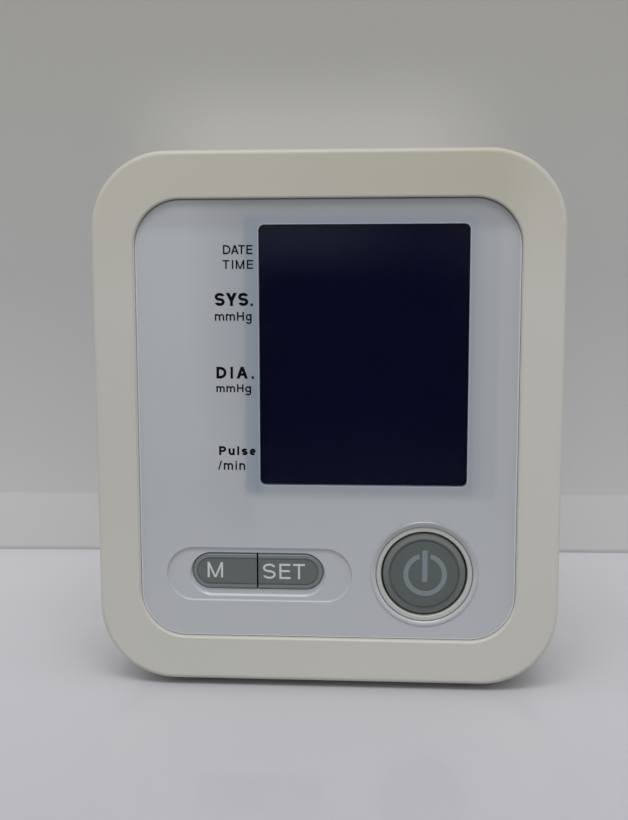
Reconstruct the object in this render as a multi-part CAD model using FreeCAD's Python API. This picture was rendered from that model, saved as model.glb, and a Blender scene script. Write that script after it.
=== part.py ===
"""Control unit of an upper-arm blood pressure monitor, as an assembly of separate pieces.

The unit stands on its lower end. X runs to the right of someone who faces the display, Y runs from the
display side to the back, and Z runs up. The origin is the middle of the lower end. Depths are measured
from the front face of the bezel towards the back. The back wall leans by a few degrees, so what belongs
to it is built in a frame of its own: x, out (away from the back wall) and up (along the back wall).
"""

import FreeCAD, Part

import os
from math import atan2, cos, degrees, hypot, pi, radians, sin, sqrt, tan

from FreeCAD import Placement, Rotation, Vector

# ---------------------------------------------------------------- shape making
CUT_MARGIN = 1.0
NEAR = 1e-4

# ---------------------------------------------------------------- casing
CASE_WIDTH = 108.4
CASE_HEIGHT = 124.4
LOWER_DEPTH = 43.0
UPPER_DEPTH = 53.0
CASE_CORNER_RADIUS = 17.8
CASE_WALL = 2.4
BEZEL_EDGE_RADIUS = 1.2
BACK_EDGE_RADIUS = 6.0
SPLIT_DEPTH = 20.0
SPLIT_GROOVE = 0.5
LIP_THICKNESS = 1.0
LIP_HEIGHT = 2.0
LIP_CLEARANCE = 0.1
LIP_ROOT_OVERLAP = 0.2
SKID_RISE = 1.6
SKID_LENGTH = 60.0
SKID_WIDTH = 5.0
SKID_ROUNDING = 0.8
FRONT_SKID_DEPTH = 7.0
REAR_SKID_DEPTH = 29.0

# ---------------------------------------------------------------- faceplate and its recess
PANEL_WIDTH = 88.7
PANEL_HEIGHT = 103.0
PANEL_CORNER_RADIUS = 10.85
PANEL_FOOT = 10.5
OPENING_ROUNDING = 0.5
RECESS_DEPTH = 1.2
FACEPLATE_THICKNESS = 2.0
FACEPLATE_CLEARANCE = 0.05
FACEPLATE_ROUNDING = 0.35
TAPE_THICKNESS = 0.2
TAPE_WIDTH = 3.0
TRAY_WALL = 2.0
TRAY_FLOOR = 2.0

# ---------------------------------------------------------------- display
LCD_WIDTH = 58.5
LCD_HEIGHT = 65.8
LCD_CENTRE_X = 9.8
LCD_TOP_MARGIN = 3.0
LCD_THICKNESS = 2.4
LCD_FRONT_GAP = 0.2
LCD_OPENING_CLEARANCE = 0.4
LCD_LEDGE = 2.0
REFLECTOR_THICKNESS = 0.3
REFLECTOR_MARGIN = 4.0
HOLDER_WALL = 1.2
HOLDER_CLEARANCE = 0.2
HOLDER_LIP = 3.4
CONNECTOR_STRIP_WIDTH = 2.0
CONNECTOR_STRIP_MARGIN = 4.0

# ---------------------------------------------------------------- buttons
BUTTON_ROW_RISE = 15.8
BUTTON_TRAVEL = 0.9
BUTTON_FLANGE_GAP = 0.3
BUTTON_FLANGE_THICKNESS = 0.8
BUTTON_FLANGE_WIDTH = 0.9
BUTTON_WALL = 1.4
STEM_RADIUS = 2.2
POWER_X = 23.05
POWER_RADIUS = 9.8
POWER_GAP = 0.35
POWER_FACE_DEPTH = 1.7
POWER_BEVEL_WIDTH = 1.35
POWER_BEVEL_DROP = 0.9
POWER_BEVEL_SHOULDER = 0.2
POWER_RIM_RISE = 0.15
RING_ROUNDING = 0.3
RING_WIDTH = 1.2
RING_CREST_DEPTH = 1.4
RING_CLEARANCE = 0.06
BEAD_WIDTH = 1.3
BEAD_RISE = 0.3
BEAD_ROOT = 0.3
PAIR_X = -16.4
PAIR_LENGTH = 31.25
PAIR_HEIGHT = 8.6
PAIR_GAP = 0.12
PAIR_SPLIT = 0.35
PAIR_FACE_DEPTH = 1.75
PAIR_BEVEL_WIDTH = 1.1
PAIR_BEVEL_DROP = 0.4
PAIR_STEM_SPACING = 16.0
DISH_MARGIN = 0.6
DISH_RIM_ABOVE = 0.3
DISH_RIM_BELOW = 1.8
DISH_DEPTH = 0.5
DISH_SLOPE = 0.45
FACE_GROOVE_WIDTH = 0.3
FACE_GROOVE_DEPTH = 0.15
WELL_X = -16.0
WELL_LENGTH = 44.2
WELL_HEIGHT = 13.1
WELL_DEPTH = 0.5
WELL_SOFTENING = 0.45
WELL_DROP = 0.7

# ---------------------------------------------------------------- key domes
DOME_RADIUS = 4.2
DOME_TOP_RADIUS = 2.6
DOME_SKIN = 0.6
PILL_RADIUS = 1.5
PILL_THICKNESS = 0.5

# ---------------------------------------------------------------- main board
BOARD_FRONT = 10.0
BOARD_THICKNESS = 1.6
BOARD_LEFT = -43.0
BOARD_RIGHT = 49.2
BOARD_BOTTOM = 13.5
BOARD_TOP = 114.5
BOARD_NOTCH_CLEARANCE = 0.7
BOARD_CASE_CLEARANCE = 0.5
BOARD_POST_RADIUS = 2.6
BOARD_POSTS = ((-38.0, 100.5), (-38.0, 40.5), (45.7, 96.5), (45.7, 38.5))
BOARD_SCREW_RADIUS = 1.1
BOARD_SCREW_LENGTH = 5.0
BOARD_SCREW_HEAD_RADIUS = 2.2
BOARD_SCREW_HEAD_HEIGHT = 1.6
SCREW_CLEARANCE = 0.05
SCREW_HOLE_CLEARANCE = 0.2
PILOT_SPARE = 0.5
HEAD_ROUNDING = 0.7
TIP_CHAMFER = 0.7
CROSS_SLOT_MARGIN = 0.8
CROSS_SLOT_WIDTH = 0.6
CROSS_SLOT_DEPTH = 0.8
CHIPS = ((2.0, 62.5, 14.0, 14.0, 1.6), (-20.0, 44.5, 6.0, 5.0, 1.5), (24.0, 44.5, 5.0, 6.0, 1.5),
         (24.0, 62.5, 8.0, 3.2, 2.2), (-4.0, 44.5, 4.0, 3.0, 1.2), (10.0, 44.5, 3.0, 4.0, 1.2))
HEADER_DEPTH = 3.4
HEADER_WIDTH = 4.8
HEADER_HEIGHT = 4.6
HEADER_CHAMFER = 0.3
BUZZER_X = -31.0
BUZZER_Z = 54.5
BUZZER_RADIUS = 6.0
BUZZER_HEIGHT = 5.0
BUZZER_HOLE_RADIUS = 1.0
BUZZER_ROUNDING = 0.4

# ---------------------------------------------------------------- case screws
SCREW_X = 44.5
SCREW_LOW_Z = 13.0
SCREW_HIGH_Z = 111.5
FRONT_BOSS_RADIUS = 3.5
REAR_COLUMN_RADIUS = 4.6
BOSS_MEET_DEPTH = 18.0
SCREW_SEAT_DEPTH = 24.0
CASE_SCREW_RADIUS = 1.4
CASE_SCREW_LENGTH = 14.0
CASE_SCREW_HEAD_RADIUS = 2.8
CASE_SCREW_HEAD_HEIGHT = 2.0
COUNTERBORE_CLEARANCE = 0.4

# ---------------------------------------------------------------- battery bay and cover
CELL_RADIUS = 7.15
CELL_LENGTH = 49.1
NUB_RADIUS = 2.6
NUB_LENGTH = 1.4
CELL_COUNT = 4
CELL_SPACING = 0.6
CELL_CLEARANCE = 0.3
CELL_ROUNDING = 0.5
SPRING_LENGTH = 4.2
SPRING_END_GAP = 0.05
SPRING_WIRE_RADIUS = 0.35
SPRING_BIG_RADIUS = 4.4
SPRING_SMALL_RADIUS = 2.8
SPRING_TURNS = 3
COIL_STEPS = 16
CONTACT_THICKNESS = 0.4
CONTACT_WIDTH = 11.0
BAY_FOOT = 12.0
BAY_WALL = 1.4
COVER_THICKNESS = 2.0
COVER_LEDGE = 2.0
COVER_CLEARANCE = 0.25
COVER_CORNER_RADIUS = 2.5
COVER_TAB_X = 18.0
COVER_TAB_WIDTH = 8.0
COVER_TAB_REACH = 1.8
COVER_TAB_THICKNESS = 1.2
COVER_TAB_CLEARANCE = 0.5
COVER_WEB = 2.6
GRIP_WIDTH = 18.0
GRIP_HEIGHT = 9.0
GRIP_DEPTH = 0.9
GRIP_MARGIN = 5.0
GRIP_RIB_COUNT = 4
GRIP_RIB_WIDTH = 0.8
GRIP_RIB_RISE = 0.5
GRIP_RIB_MARGIN = 1.0
GRIP_RIB_ROOT = 0.1

# ---------------------------------------------------------------- rubber feet on the back
FOOT_RADIUS = 5.0
FOOT_PROUD = 1.0
FOOT_SOCKET_DEPTH = 0.8
FOOT_CHAMFER = 0.3
FOOT_X = 42.0
FOOT_RISES = (26.5, 96.5)

# ---------------------------------------------------------------- pump
AIR_DEPTH = 30.0
AIR_BAY_GAP = 3.3
MOTOR_RADIUS = 12.0
MOTOR_LEFT = 18.0
MOTOR_RIGHT = 46.0
MOTOR_WALL = 1.0
MOTOR_CAP_THICKNESS = 3.0
MOTOR_CAP_INSET = 0.2
MOTOR_CAP_FLOOR = 0.5
MOTOR_ROUNDING = 1.0
SHAFT_RADIUS = 1.0
SHAFT_CLEARANCE = 0.03
SHAFT_END_GAP = 0.1
MAGNET_THICKNESS = 1.6
MAGNET_CLEARANCE = 0.05
MAGNET_ANGLE = 130.0
MAGNET_LEFT = 22.0
MAGNET_RIGHT = 42.0
ARMATURE_AIR_GAP = 0.75
ARMATURE_LEFT = 24.0
ARMATURE_RIGHT = 39.0
ARMATURE_SLOT_WIDTH = 2.0
ARMATURE_SLOT_DEPTH = 4.5
COMMUTATOR_RADIUS = 2.6
COMMUTATOR_LENGTH = 3.0
TERMINAL_WIDTH = 2.0
TERMINAL_THICKNESS = 0.5
TERMINAL_LENGTH = 2.2
TERMINAL_OFFSET = 4.0
TERMINAL_LEAD_INSET = 0.4
PUMP_RADIUS = 12.5
PUMP_HOUSING_WALL = 1.8
PUMP_HOUSING_LEFT = 5.0
SHAFT_HOLE_RADIUS = 3.0
CRANK_RADIUS = 4.5
CRANK_LEFT = 10.0
CRANK_RIGHT = 14.5
CRANK_OFFSET = 1.2
WOBBLE_THICKNESS = 1.5
WOBBLE_ARM_REACH = 8.6
WOBBLE_ARM_WIDTH = 5.0
WOBBLE_HUB_RADIUS = 2.5
WOBBLE_GAP = 0.4
DIAPHRAGM_THICKNESS = 1.2
CUP_RADIUS = 3.0
CUP_CIRCLE_RADIUS = 6.6
CUP_HEIGHT = 0.8
VALVE_PLATE_THICKNESS = 1.8
PUMP_HEAD_THICKNESS = 4.0
PUMP_HEAD_ROUNDING = 1.2
NOZZLE_LENGTH = 5.0
SLEEVE_LEFT = 20.0
SLEEVE_RIGHT = 44.0
SLEEVE_THICKNESS = 2.0
SADDLE_WIDTH = 3.0
SADDLE_LEFTS = (22.5, 38.5)
SADDLE_HALF_HEIGHT = 11.0
STRAP_LEFT = 30.0
STRAP_RIGHT = 37.0
STRAP_THICKNESS = 1.0
STRAP_EAR_THICKNESS = 1.2
STRAP_EAR_REACH = 7.0
STRAP_POST_RADIUS = 3.0
STRAP_SCREW_LENGTH = 6.0

# ---------------------------------------------------------------- air circuit
BARB_RADIUS = 2.0
BARB_LENGTH = 4.0
BARB_BORE_RADIUS = 1.0
HOSE_RADIUS = 2.9
HOSE_BORE_CLEARANCE = 0.05
HOSE_END_GAP = 0.5
HOSE_BEND_RADIUS = 7.0
MANIFOLD_X = -15.5
MANIFOLD_SIZE = 7.0
MANIFOLD_CHAMFER = 0.6
MANIFOLD_BRANCH_RADIUS = 0.8
VALVE_NOZZLE_GAP = 2.0
VALVE_SEAT_RADIUS = 5.4
VALVE_SEAT_THICKNESS = 3.0
VALVE_FRAME_LENGTH = 15.0
VALVE_FRAME_DEPTH = 11.0
VALVE_FRAME_HEIGHT = 13.0
VALVE_FRAME_PLATE = 1.2
VALVE_WINDING_RADIUS = 3.8
VALVE_CHEEK_THICKNESS = 1.0
PLUNGER_RADIUS = 2.4
PLUNGER_CLEARANCE = 0.1
PLUNGER_TRAVEL = 0.8
PLUNGER_TIP_CLEARANCE = 0.3
PLUNGER_PROUD = 2.2
PLUNGER_HEAD_RADIUS = 3.4
PLUNGER_HEAD_THICKNESS = 0.8
PLUNGER_SPRING_WIRE = 0.2
PLUNGER_SPRING_TURNS = 2
PLUNGER_SPRING_RADIUS = 2.9
VALVE_REST_WIDTH = 8.0
VALVE_REST_HEIGHT = 8.0
SENSOR_SIZE = 10.0
SENSOR_HEIGHT = 5.0
SENSOR_NOZZLE_LENGTH = 4.0
SOCKET_HOSE_GAP = 0.4
SOCKET_RADIUS = 5.8
SOCKET_CLEARANCE = 0.15
SOCKET_RECESS = 0.8
SOCKET_BODY_LENGTH = 13.5
SOCKET_BORE_RADIUS = 3.05
SOCKET_BORE_LENGTH = 8.0
SOCKET_MOUTH_CHAMFER = 0.6
SOCKET_FLANGE_RADIUS = 7.4
SOCKET_FLANGE_THICKNESS = 1.4
SEAL_WIRE_RADIUS = 0.8
SEAL_INNER_RADIUS = 2.7
SEAL_CLEARANCE = 0.05

# ---------------------------------------------------------------- adaptor jack
JACK_Z = 60.5
JACK_BODY_LENGTH = 12.0
JACK_BODY_DEPTH = 9.0
JACK_BODY_HEIGHT = 10.6
JACK_BARREL_RADIUS = 4.2
JACK_CLEARANCE = 0.15
JACK_RECESS = 0.6
JACK_BORE_RADIUS = 2.8
JACK_BORE_LENGTH = 9.5
JACK_PIN_RADIUS = 1.05
JACK_PIN_LENGTH = 8.0
JACK_PIN_ROUNDING = 0.6
JACK_BACK_WALL = 1.0

# ---------------------------------------------------------------- leads
LEAD_RADIUS = 0.65
LEAD_PITCH = 1.8
LEAD_BEND_RADIUS = 2.2
BATTERY_HEADER_X = 37.0
BATTERY_HEADER_Z = 28.5
JACK_HEADER_X = 34.2
MOTOR_HEADER_DROP = 13.0
VALVE_HEADER_X = -40.0

# ---------------------------------------------------------------- values that follow from the above
LEAN = atan2(UPPER_DEPTH - LOWER_DEPTH, CASE_HEIGHT)
SHELL_REACH = (LOWER_DEPTH + (CASE_HEIGHT - BACK_EDGE_RADIUS) * tan(LEAN)
               - BACK_EDGE_RADIUS / cos(LEAN) + BACK_EDGE_RADIUS)
FOOT_REACH = (LOWER_DEPTH + (max(FOOT_RISES) + FOOT_RADIUS - FOOT_CHAMFER) * sin(LEAN)
              + FOOT_PROUD * cos(LEAN))
FRONT_Y = -max(SHELL_REACH, FOOT_REACH) / 2
FAR = 2 * (CASE_WIDTH + CASE_HEIGHT + UPPER_DEPTH)
CASE_MID_Z = CASE_HEIGHT / 2
PANEL_MID_Z = PANEL_FOOT + PANEL_HEIGHT / 2
PLATE_FRONT = RECESS_DEPTH
PLATE_BACK = PLATE_FRONT + FACEPLATE_THICKNESS
TRAY_FRONT = PLATE_BACK + TAPE_THICKNESS
TRAY_BACK = TRAY_FRONT + TRAY_FLOOR
LCD_MID_Z = PANEL_FOOT + PANEL_HEIGHT - LCD_TOP_MARGIN - LCD_HEIGHT / 2
LCD_FRONT = PLATE_BACK + LCD_FRONT_GAP
LCD_BACK = LCD_FRONT + LCD_THICKNESS
BUTTON_Z = PANEL_FOOT + BUTTON_ROW_RISE
BOARD_BACK = BOARD_FRONT + BOARD_THICKNESS
FLANGE_FRONT = TRAY_BACK + BUTTON_FLANGE_GAP
FLANGE_BACK = FLANGE_FRONT + BUTTON_FLANGE_THICKNESS
STEM_END = BOARD_FRONT - BUTTON_TRAVEL - PILL_THICKNESS - DOME_SKIN
RING_INNER = POWER_RADIUS + POWER_GAP
RING_OUTER = RING_INNER + RING_WIDTH
CELL_PITCH = 2 * CELL_RADIUS + CELL_SPACING
BAY_LENGTH = CELL_LENGTH + NUB_LENGTH + SPRING_LENGTH + 2 * CONTACT_THICKNESS
BAY_HEIGHT = CELL_COUNT * CELL_PITCH
BAY_DEPTH = COVER_THICKNESS + 2 * CELL_RADIUS + 2 * CELL_CLEARANCE
BAY_TOP = BAY_FOOT + BAY_HEIGHT
COVER_LEFT = -BAY_LENGTH / 2 - COVER_LEDGE + COVER_CLEARANCE
COVER_FOOT = BAY_FOOT - COVER_LEDGE + COVER_CLEARANCE
COVER_TOP = BAY_TOP + COVER_LEDGE - COVER_CLEARANCE
COVER_TAB_INNER = CASE_WALL + COVER_CLEARANCE + COVER_TAB_THICKNESS
COVER_TAB_ROOM = hypot(COVER_TAB_INNER, COVER_WEB) + COVER_TAB_CLEARANCE
CASE_SCREWS = [(x, z) for x in (-SCREW_X, SCREW_X) for z in (SCREW_LOW_Z, SCREW_HIGH_Z)]
FEET = [(x, rise) for x in (-FOOT_X, FOOT_X) for rise in FOOT_RISES]
SLEEVE_RADIUS = MOTOR_RADIUS + SLEEVE_THICKNESS
TUB_TOP_Z = (BAY_TOP + BAY_WALL) * cos(LEAN) + (BAY_DEPTH + BAY_WALL) * sin(LEAN)
AIR_Z = TUB_TOP_Z + AIR_BAY_GAP + SLEEVE_RADIUS
SOCKET_Z = TUB_TOP_Z + SOCKET_HOSE_GAP + HOSE_RADIUS
MAGNET_OUTER = MOTOR_RADIUS - MOTOR_WALL - MAGNET_CLEARANCE
ARMATURE_RADIUS = MAGNET_OUTER - MAGNET_THICKNESS - ARMATURE_AIR_GAP
TERMINAL_ROOT = sqrt((MOTOR_RADIUS - MOTOR_CAP_INSET) ** 2 - (TERMINAL_OFFSET + TERMINAL_WIDTH / 2) ** 2)
PUMP_HEAD_RIGHT = PUMP_HOUSING_LEFT - DIAPHRAGM_THICKNESS - VALVE_PLATE_THICKNESS
PUMP_HEAD_LEFT = PUMP_HEAD_RIGHT - PUMP_HEAD_THICKNESS
VALVE_NOZZLE_RIGHT = MANIFOLD_X - MANIFOLD_SIZE / 2 - BARB_LENGTH - VALVE_NOZZLE_GAP
VALVE_SEAT_RIGHT = VALVE_NOZZLE_RIGHT - NOZZLE_LENGTH
VALVE_FRAME_RIGHT = VALVE_SEAT_RIGHT - VALVE_SEAT_THICKNESS
VALVE_FRAME_LEFT = VALVE_FRAME_RIGHT - VALVE_FRAME_LENGTH
SOCKET_MOUTH = -CASE_WIDTH / 2 + SOCKET_RECESS
SOCKET_END = SOCKET_MOUTH + SOCKET_BODY_LENGTH
JACK_MOUTH = CASE_WIDTH / 2 - JACK_RECESS
JACK_BODY_RIGHT = CASE_WIDTH / 2 - CASE_WALL - JACK_CLEARANCE
JACK_BODY_LEFT = JACK_BODY_RIGHT - JACK_BODY_LENGTH
STRAP_EAR_Z = SLEEVE_RADIUS + STRAP_THICKNESS + STRAP_EAR_REACH - STRAP_POST_RADIUS
STRAP_MID = (STRAP_LEFT + STRAP_RIGHT) / 2
HEADER_TOP = BOARD_BACK + HEADER_DEPTH
BATTERY_HEADER = (BATTERY_HEADER_X, BATTERY_HEADER_Z)
JACK_HEADER = (JACK_HEADER_X, JACK_Z)
MOTOR_HEADER = (MOTOR_RIGHT + MOTOR_CAP_THICKNESS / 2, AIR_Z - MOTOR_HEADER_DROP)
VALVE_HEADER = (VALVE_HEADER_X, AIR_Z)


# ---------------------------------------------------------------- shape helpers
def at(x, depth, z):
    """A point given by its depth behind the bezel's front face."""
    return Vector(x, FRONT_Y + depth, z)


def prism(wire, front, back):
    """The face inside a wire drawn at depth 0, pushed back between two depths."""
    face = Part.Face(wire)
    face.translate(Vector(0, front, 0))
    return face.extrude(Vector(0, back - front, 0))


def arc(start, middle, end):
    return Part.Arc(start, middle, end).toShape()


def rounded_wire(width, height, radius, mid_x, mid_z):
    """A rectangle with round corners, at depth 0."""
    left, right = mid_x - width / 2, mid_x + width / 2
    low, high = mid_z - height / 2, mid_z + height / 2
    slant = radius * (1 - cos(radians(45)))
    edges = [
        Part.makeLine(at(left + radius, 0, low), at(right - radius, 0, low)),
        arc(at(right - radius, 0, low), at(right - slant, 0, low + slant), at(right, 0, low + radius)),
        Part.makeLine(at(right, 0, low + radius), at(right, 0, high - radius)),
        arc(at(right, 0, high - radius), at(right - slant, 0, high - slant), at(right - radius, 0, high)),
        Part.makeLine(at(right - radius, 0, high), at(left + radius, 0, high)),
        arc(at(left + radius, 0, high), at(left + slant, 0, high - slant), at(left, 0, high - radius)),
        Part.makeLine(at(left, 0, high - radius), at(left, 0, low + radius)),
        arc(at(left, 0, low + radius), at(left + slant, 0, low + slant), at(left + radius, 0, low)),
    ]
    return Part.Wire(edges)


def rounded_plate(width, height, radius, mid_x, mid_z, front, back):
    return prism(rounded_wire(width, height, radius, mid_x, mid_z), front, back)


def stadium(length, height, mid_x, mid_z, front, back):
    """A plate with two straight sides and two round ends."""
    reach = (length - height) / 2
    low, high = mid_z - height / 2, mid_z + height / 2
    left, right = mid_x - reach, mid_x + reach
    edges = [
        Part.makeLine(at(left, 0, low), at(right, 0, low)),
        arc(at(right, 0, low), at(right + height / 2, 0, mid_z), at(right, 0, high)),
        Part.makeLine(at(right, 0, high), at(left, 0, high)),
        arc(at(left, 0, high), at(left - height / 2, 0, mid_z), at(left, 0, low)),
    ]
    return prism(Part.Wire(edges), front, back)


def block(left, right, front, back, low, high):
    return Part.makeBox(right - left, back - front, high - low, at(left, front, low))


def disc(radius, x, z, front, back):
    """A cylinder that runs from front to back."""
    return Part.makeCylinder(radius, back - front, at(x, front, z), Vector(0, 1, 0))


def rod(radius, left, right, depth, z):
    """A cylinder that runs from left to right."""
    return Part.makeCylinder(radius, right - left, at(left, depth, z), Vector(1, 0, 0))


def pillar(radius, low, high, x, depth):
    """A cylinder that runs upwards."""
    return Part.makeCylinder(radius, high - low, at(x, depth, low), Vector(0, 0, 1))


def turned(profile, x, z):
    """A solid turned about a front-to-back axis, from (radius, depth) corners."""
    corners = [at(x + radius, depth, z) for radius, depth in profile]
    face = Part.Face(Part.makePolygon(corners + corners[:1]))
    return face.revolve(at(x, 0, z), Vector(0, 1, 0), 360)


def fused(shapes):
    result = shapes[0].fuse(shapes[1:]) if len(shapes) > 1 else shapes[0]
    return result.removeSplitter()


def without(shape, cuts):
    return shape.cut(cuts)


def back_frame():
    """Carries (x, out, up) to the leaning back wall."""
    return Placement(at(0, LOWER_DEPTH, 0), Rotation(Vector(1, 0, 0), -degrees(LEAN)))


def placed(shape, placement):
    """A copy of a shape, carried on from where it is."""
    moved = shape.copy()
    moved.Placement = placement.multiply(shape.Placement)
    return moved


def on_back(shape):
    return placed(shape, back_frame())


def back_block(left, right, inner, outer, low, high):
    return on_back(Part.makeBox(right - left, outer - inner, high - low, Vector(left, inner, low)))


def back_disc(radius, x, rise, inner, outer):
    return on_back(Part.makeCylinder(radius, outer - inner, Vector(x, inner, rise), Vector(0, 1, 0)))


def back_space(inset):
    """All the space in front of the back wall's surface, moved inwards by inset."""
    return back_block(-FAR, FAR, -FAR, -inset, -FAR, FAR)


def rounded_back_plate(width, height, radius, mid_rise, inner, outer):
    plate = Part.makeBox(width, outer - inner, height, Vector(-width / 2, inner, mid_rise - height / 2))
    uprights = [e for e in plate.Edges if abs(e.BoundBox.YLength - (outer - inner)) < NEAR]
    return on_back(plate.makeFillet(radius, uprights))


def edges_at_depth(shape, depth):
    """The edges that lie wholly at one depth."""
    y = FRONT_Y + depth
    return [e for e in shape.Edges if abs(e.BoundBox.YMin - y) < NEAR and abs(e.BoundBox.YMax - y) < NEAR]


def rim_of(plate, depth, hole):
    """The edges that a hole leaves at one depth of a plate."""
    return [e for e in edges_at_depth(plate, depth) if e.distToShape(hole)[0] < NEAR]


def swept(points, radius, bend):
    """A round bar along straight runs that are joined by arcs of one bend radius."""
    edges = []
    start = points[0]
    for before, corner, after in zip(points, points[1:], points[2:]):
        arrive = (corner - before).normalize()
        leave = (after - corner).normalize()
        half_turn = arrive.getAngle(leave) / 2
        setback = bend * tan(half_turn)
        first = corner - arrive * setback
        last = corner + leave * setback
        inward = (leave - arrive).normalize()
        middle = corner + inward * (bend / cos(half_turn) - bend)
        edges.append(Part.makeLine(start, first))
        edges.append(arc(first, middle, last))
        start = last
    edges.append(Part.makeLine(start, points[-1]))
    path = Part.Wire(edges)
    outline = Part.Wire([Part.makeCircle(radius, points[0], points[1] - points[0])])
    return path.makePipeShell([outline], True, False)


def hose(points):
    """A silicone hose whose bore fits over the barbs at both ends."""
    return swept(points, HOSE_RADIUS, HOSE_BEND_RADIUS).cut(
        swept(points, BARB_RADIUS + HOSE_BORE_CLEARANCE, HOSE_BEND_RADIUS))


def coil(wire_radius, foot_radius, top_radius, length, turns):
    """A spring that stands on z = 0."""
    steps = turns * COIL_STEPS
    points = []
    for step in range(steps + 1):
        share = step / steps
        angle = 2 * pi * turns * share
        radius = foot_radius + (top_radius - foot_radius) * share
        rise = wire_radius + (length - 2 * wire_radius) * share
        points.append(Vector(radius * cos(angle), radius * sin(angle), rise))
    spiral = Part.BSplineCurve()
    spiral.interpolate(points)
    start = spiral.tangent(spiral.FirstParameter)[0]
    section = Part.Wire([Part.makeCircle(wire_radius, points[0], start)])
    return Part.Wire([spiral.toShape()]).makePipeShell([section], True, True)


def pan_screw(shank_radius, length, head_radius, head_height, x, z, seat):
    """A pan-head screw that points forwards, with its head behind the seat."""
    top = seat + head_height
    tip = seat - length
    head = disc(head_radius, x, z, seat, top)
    head = head.makeFillet(HEAD_ROUNDING, edges_at_depth(head, top))
    shank = disc(shank_radius, x, z, tip, seat)
    shank = shank.makeChamfer(TIP_CHAMFER, edges_at_depth(shank, tip))
    half = CROSS_SLOT_WIDTH / 2
    reach = head_radius - CROSS_SLOT_MARGIN
    floor = top - CROSS_SLOT_DEPTH
    slots = [block(x - reach, x + reach, floor, top + CUT_MARGIN, z - half, z + half),
             block(x - half, x + half, floor, top + CUT_MARGIN, z - reach, z + reach)]
    return without(fused([head, shank]), slots)


def save(name, shapes):
    """Writes one named piece, made of one or more separate solids, at its height above the table."""
    solids = [solid.translated(Vector(0, 0, SKID_RISE)) for shape in shapes for solid in shape.Solids]
    whole = solids[0] if len(solids) == 1 else Part.makeCompound(solids)
    whole.exportStep("parts/" + name + ".step")


# ---------------------------------------------------------------- casing
def case_outline(inset, front, back):
    return rounded_plate(CASE_WIDTH - 2 * inset, CASE_HEIGHT - 2 * inset, CASE_CORNER_RADIUS - inset,
                         0, CASE_MID_Z, front, back)


def panel_plate(growth, front, back):
    return rounded_plate(PANEL_WIDTH + 2 * growth, PANEL_HEIGHT + 2 * growth, PANEL_CORNER_RADIUS + growth,
                         0, PANEL_MID_Z, front, back)


def lcd_plate(growth, front, back):
    return block(LCD_CENTRE_X - LCD_WIDTH / 2 - growth, LCD_CENTRE_X + LCD_WIDTH / 2 + growth, front, back,
                 LCD_MID_Z - LCD_HEIGHT / 2 - growth, LCD_MID_Z + LCD_HEIGHT / 2 + growth)


def button_pair_plate(growth, front, back):
    return stadium(PAIR_LENGTH + 2 * growth, PAIR_HEIGHT + 2 * growth, PAIR_X, BUTTON_Z, front, back)


def skid(depth):
    """A low rib across the lower end, which the unit stands on."""
    half = SKID_LENGTH / 2
    rib = block(-half, half, depth, depth + SKID_WIDTH, -SKID_RISE, CASE_WALL / 2)
    low = [edge for edge in rib.Edges if abs(edge.BoundBox.ZMax + SKID_RISE) < NEAR]
    return rib.makeFillet(SKID_ROUNDING, low)


def button_ring():
    """The raised ring of the bezel's own plastic around the power button."""
    ring = disc(RING_OUTER, POWER_X, BUTTON_Z, RING_CREST_DEPTH, TRAY_BACK)
    ring = ring.cut(disc(RING_INNER, POWER_X, BUTTON_Z, 0, TRAY_BACK + CUT_MARGIN))
    return ring.makeFillet(RING_ROUNDING, edges_at_depth(ring, RING_CREST_DEPTH))


def front_shell():
    body = case_outline(0, 0, SPLIT_DEPTH)
    body = body.makeFillet(BEZEL_EDGE_RADIUS, edges_at_depth(body, 0))
    tray = panel_plate(TRAY_WALL, 0, TRAY_BACK)
    hollow = case_outline(CASE_WALL, CASE_WALL, SPLIT_DEPTH + CUT_MARGIN).cut(tray)
    body = body.cut(hollow)
    bosses = [disc(FRONT_BOSS_RADIUS, x, z, CASE_WALL, BOSS_MEET_DEPTH) for x, z in CASE_SCREWS]
    posts = [disc(BOARD_POST_RADIUS, x, z, CASE_WALL, BOARD_FRONT) for x, z in BOARD_POSTS]
    body = fused([body, skid(FRONT_SKID_DEPTH)] + bosses + posts)
    groove = case_outline(-CUT_MARGIN, SPLIT_DEPTH - SPLIT_GROOVE, SPLIT_DEPTH + CUT_MARGIN)
    groove = groove.cut(case_outline(SPLIT_GROOVE, 0, SPLIT_DEPTH + CUT_MARGIN))
    cuts = [groove, panel_plate(0, -CUT_MARGIN, TRAY_FRONT),
            lcd_plate(LCD_OPENING_CLEARANCE, 0, TRAY_BACK + CUT_MARGIN),
            disc(RING_INNER, POWER_X, BUTTON_Z, 0, TRAY_BACK + CUT_MARGIN),
            button_pair_plate(PAIR_GAP, 0, TRAY_BACK + CUT_MARGIN)]
    pilot = CASE_SCREW_RADIUS + SCREW_CLEARANCE
    tip = SCREW_SEAT_DEPTH - CASE_SCREW_LENGTH - PILOT_SPARE
    cuts += [disc(pilot, x, z, tip, SPLIT_DEPTH) for x, z in CASE_SCREWS]
    pilot = BOARD_SCREW_RADIUS + SCREW_CLEARANCE
    tip = BOARD_BACK - BOARD_SCREW_LENGTH - PILOT_SPARE
    cuts += [disc(pilot, x, z, tip, BOARD_FRONT + CUT_MARGIN) for x, z in BOARD_POSTS]
    body = without(body, cuts)
    body = body.makeFillet(OPENING_ROUNDING, rim_of(body, 0, panel_plate(0, 0, TRAY_FRONT)))
    return fused([body, button_ring()])


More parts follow.
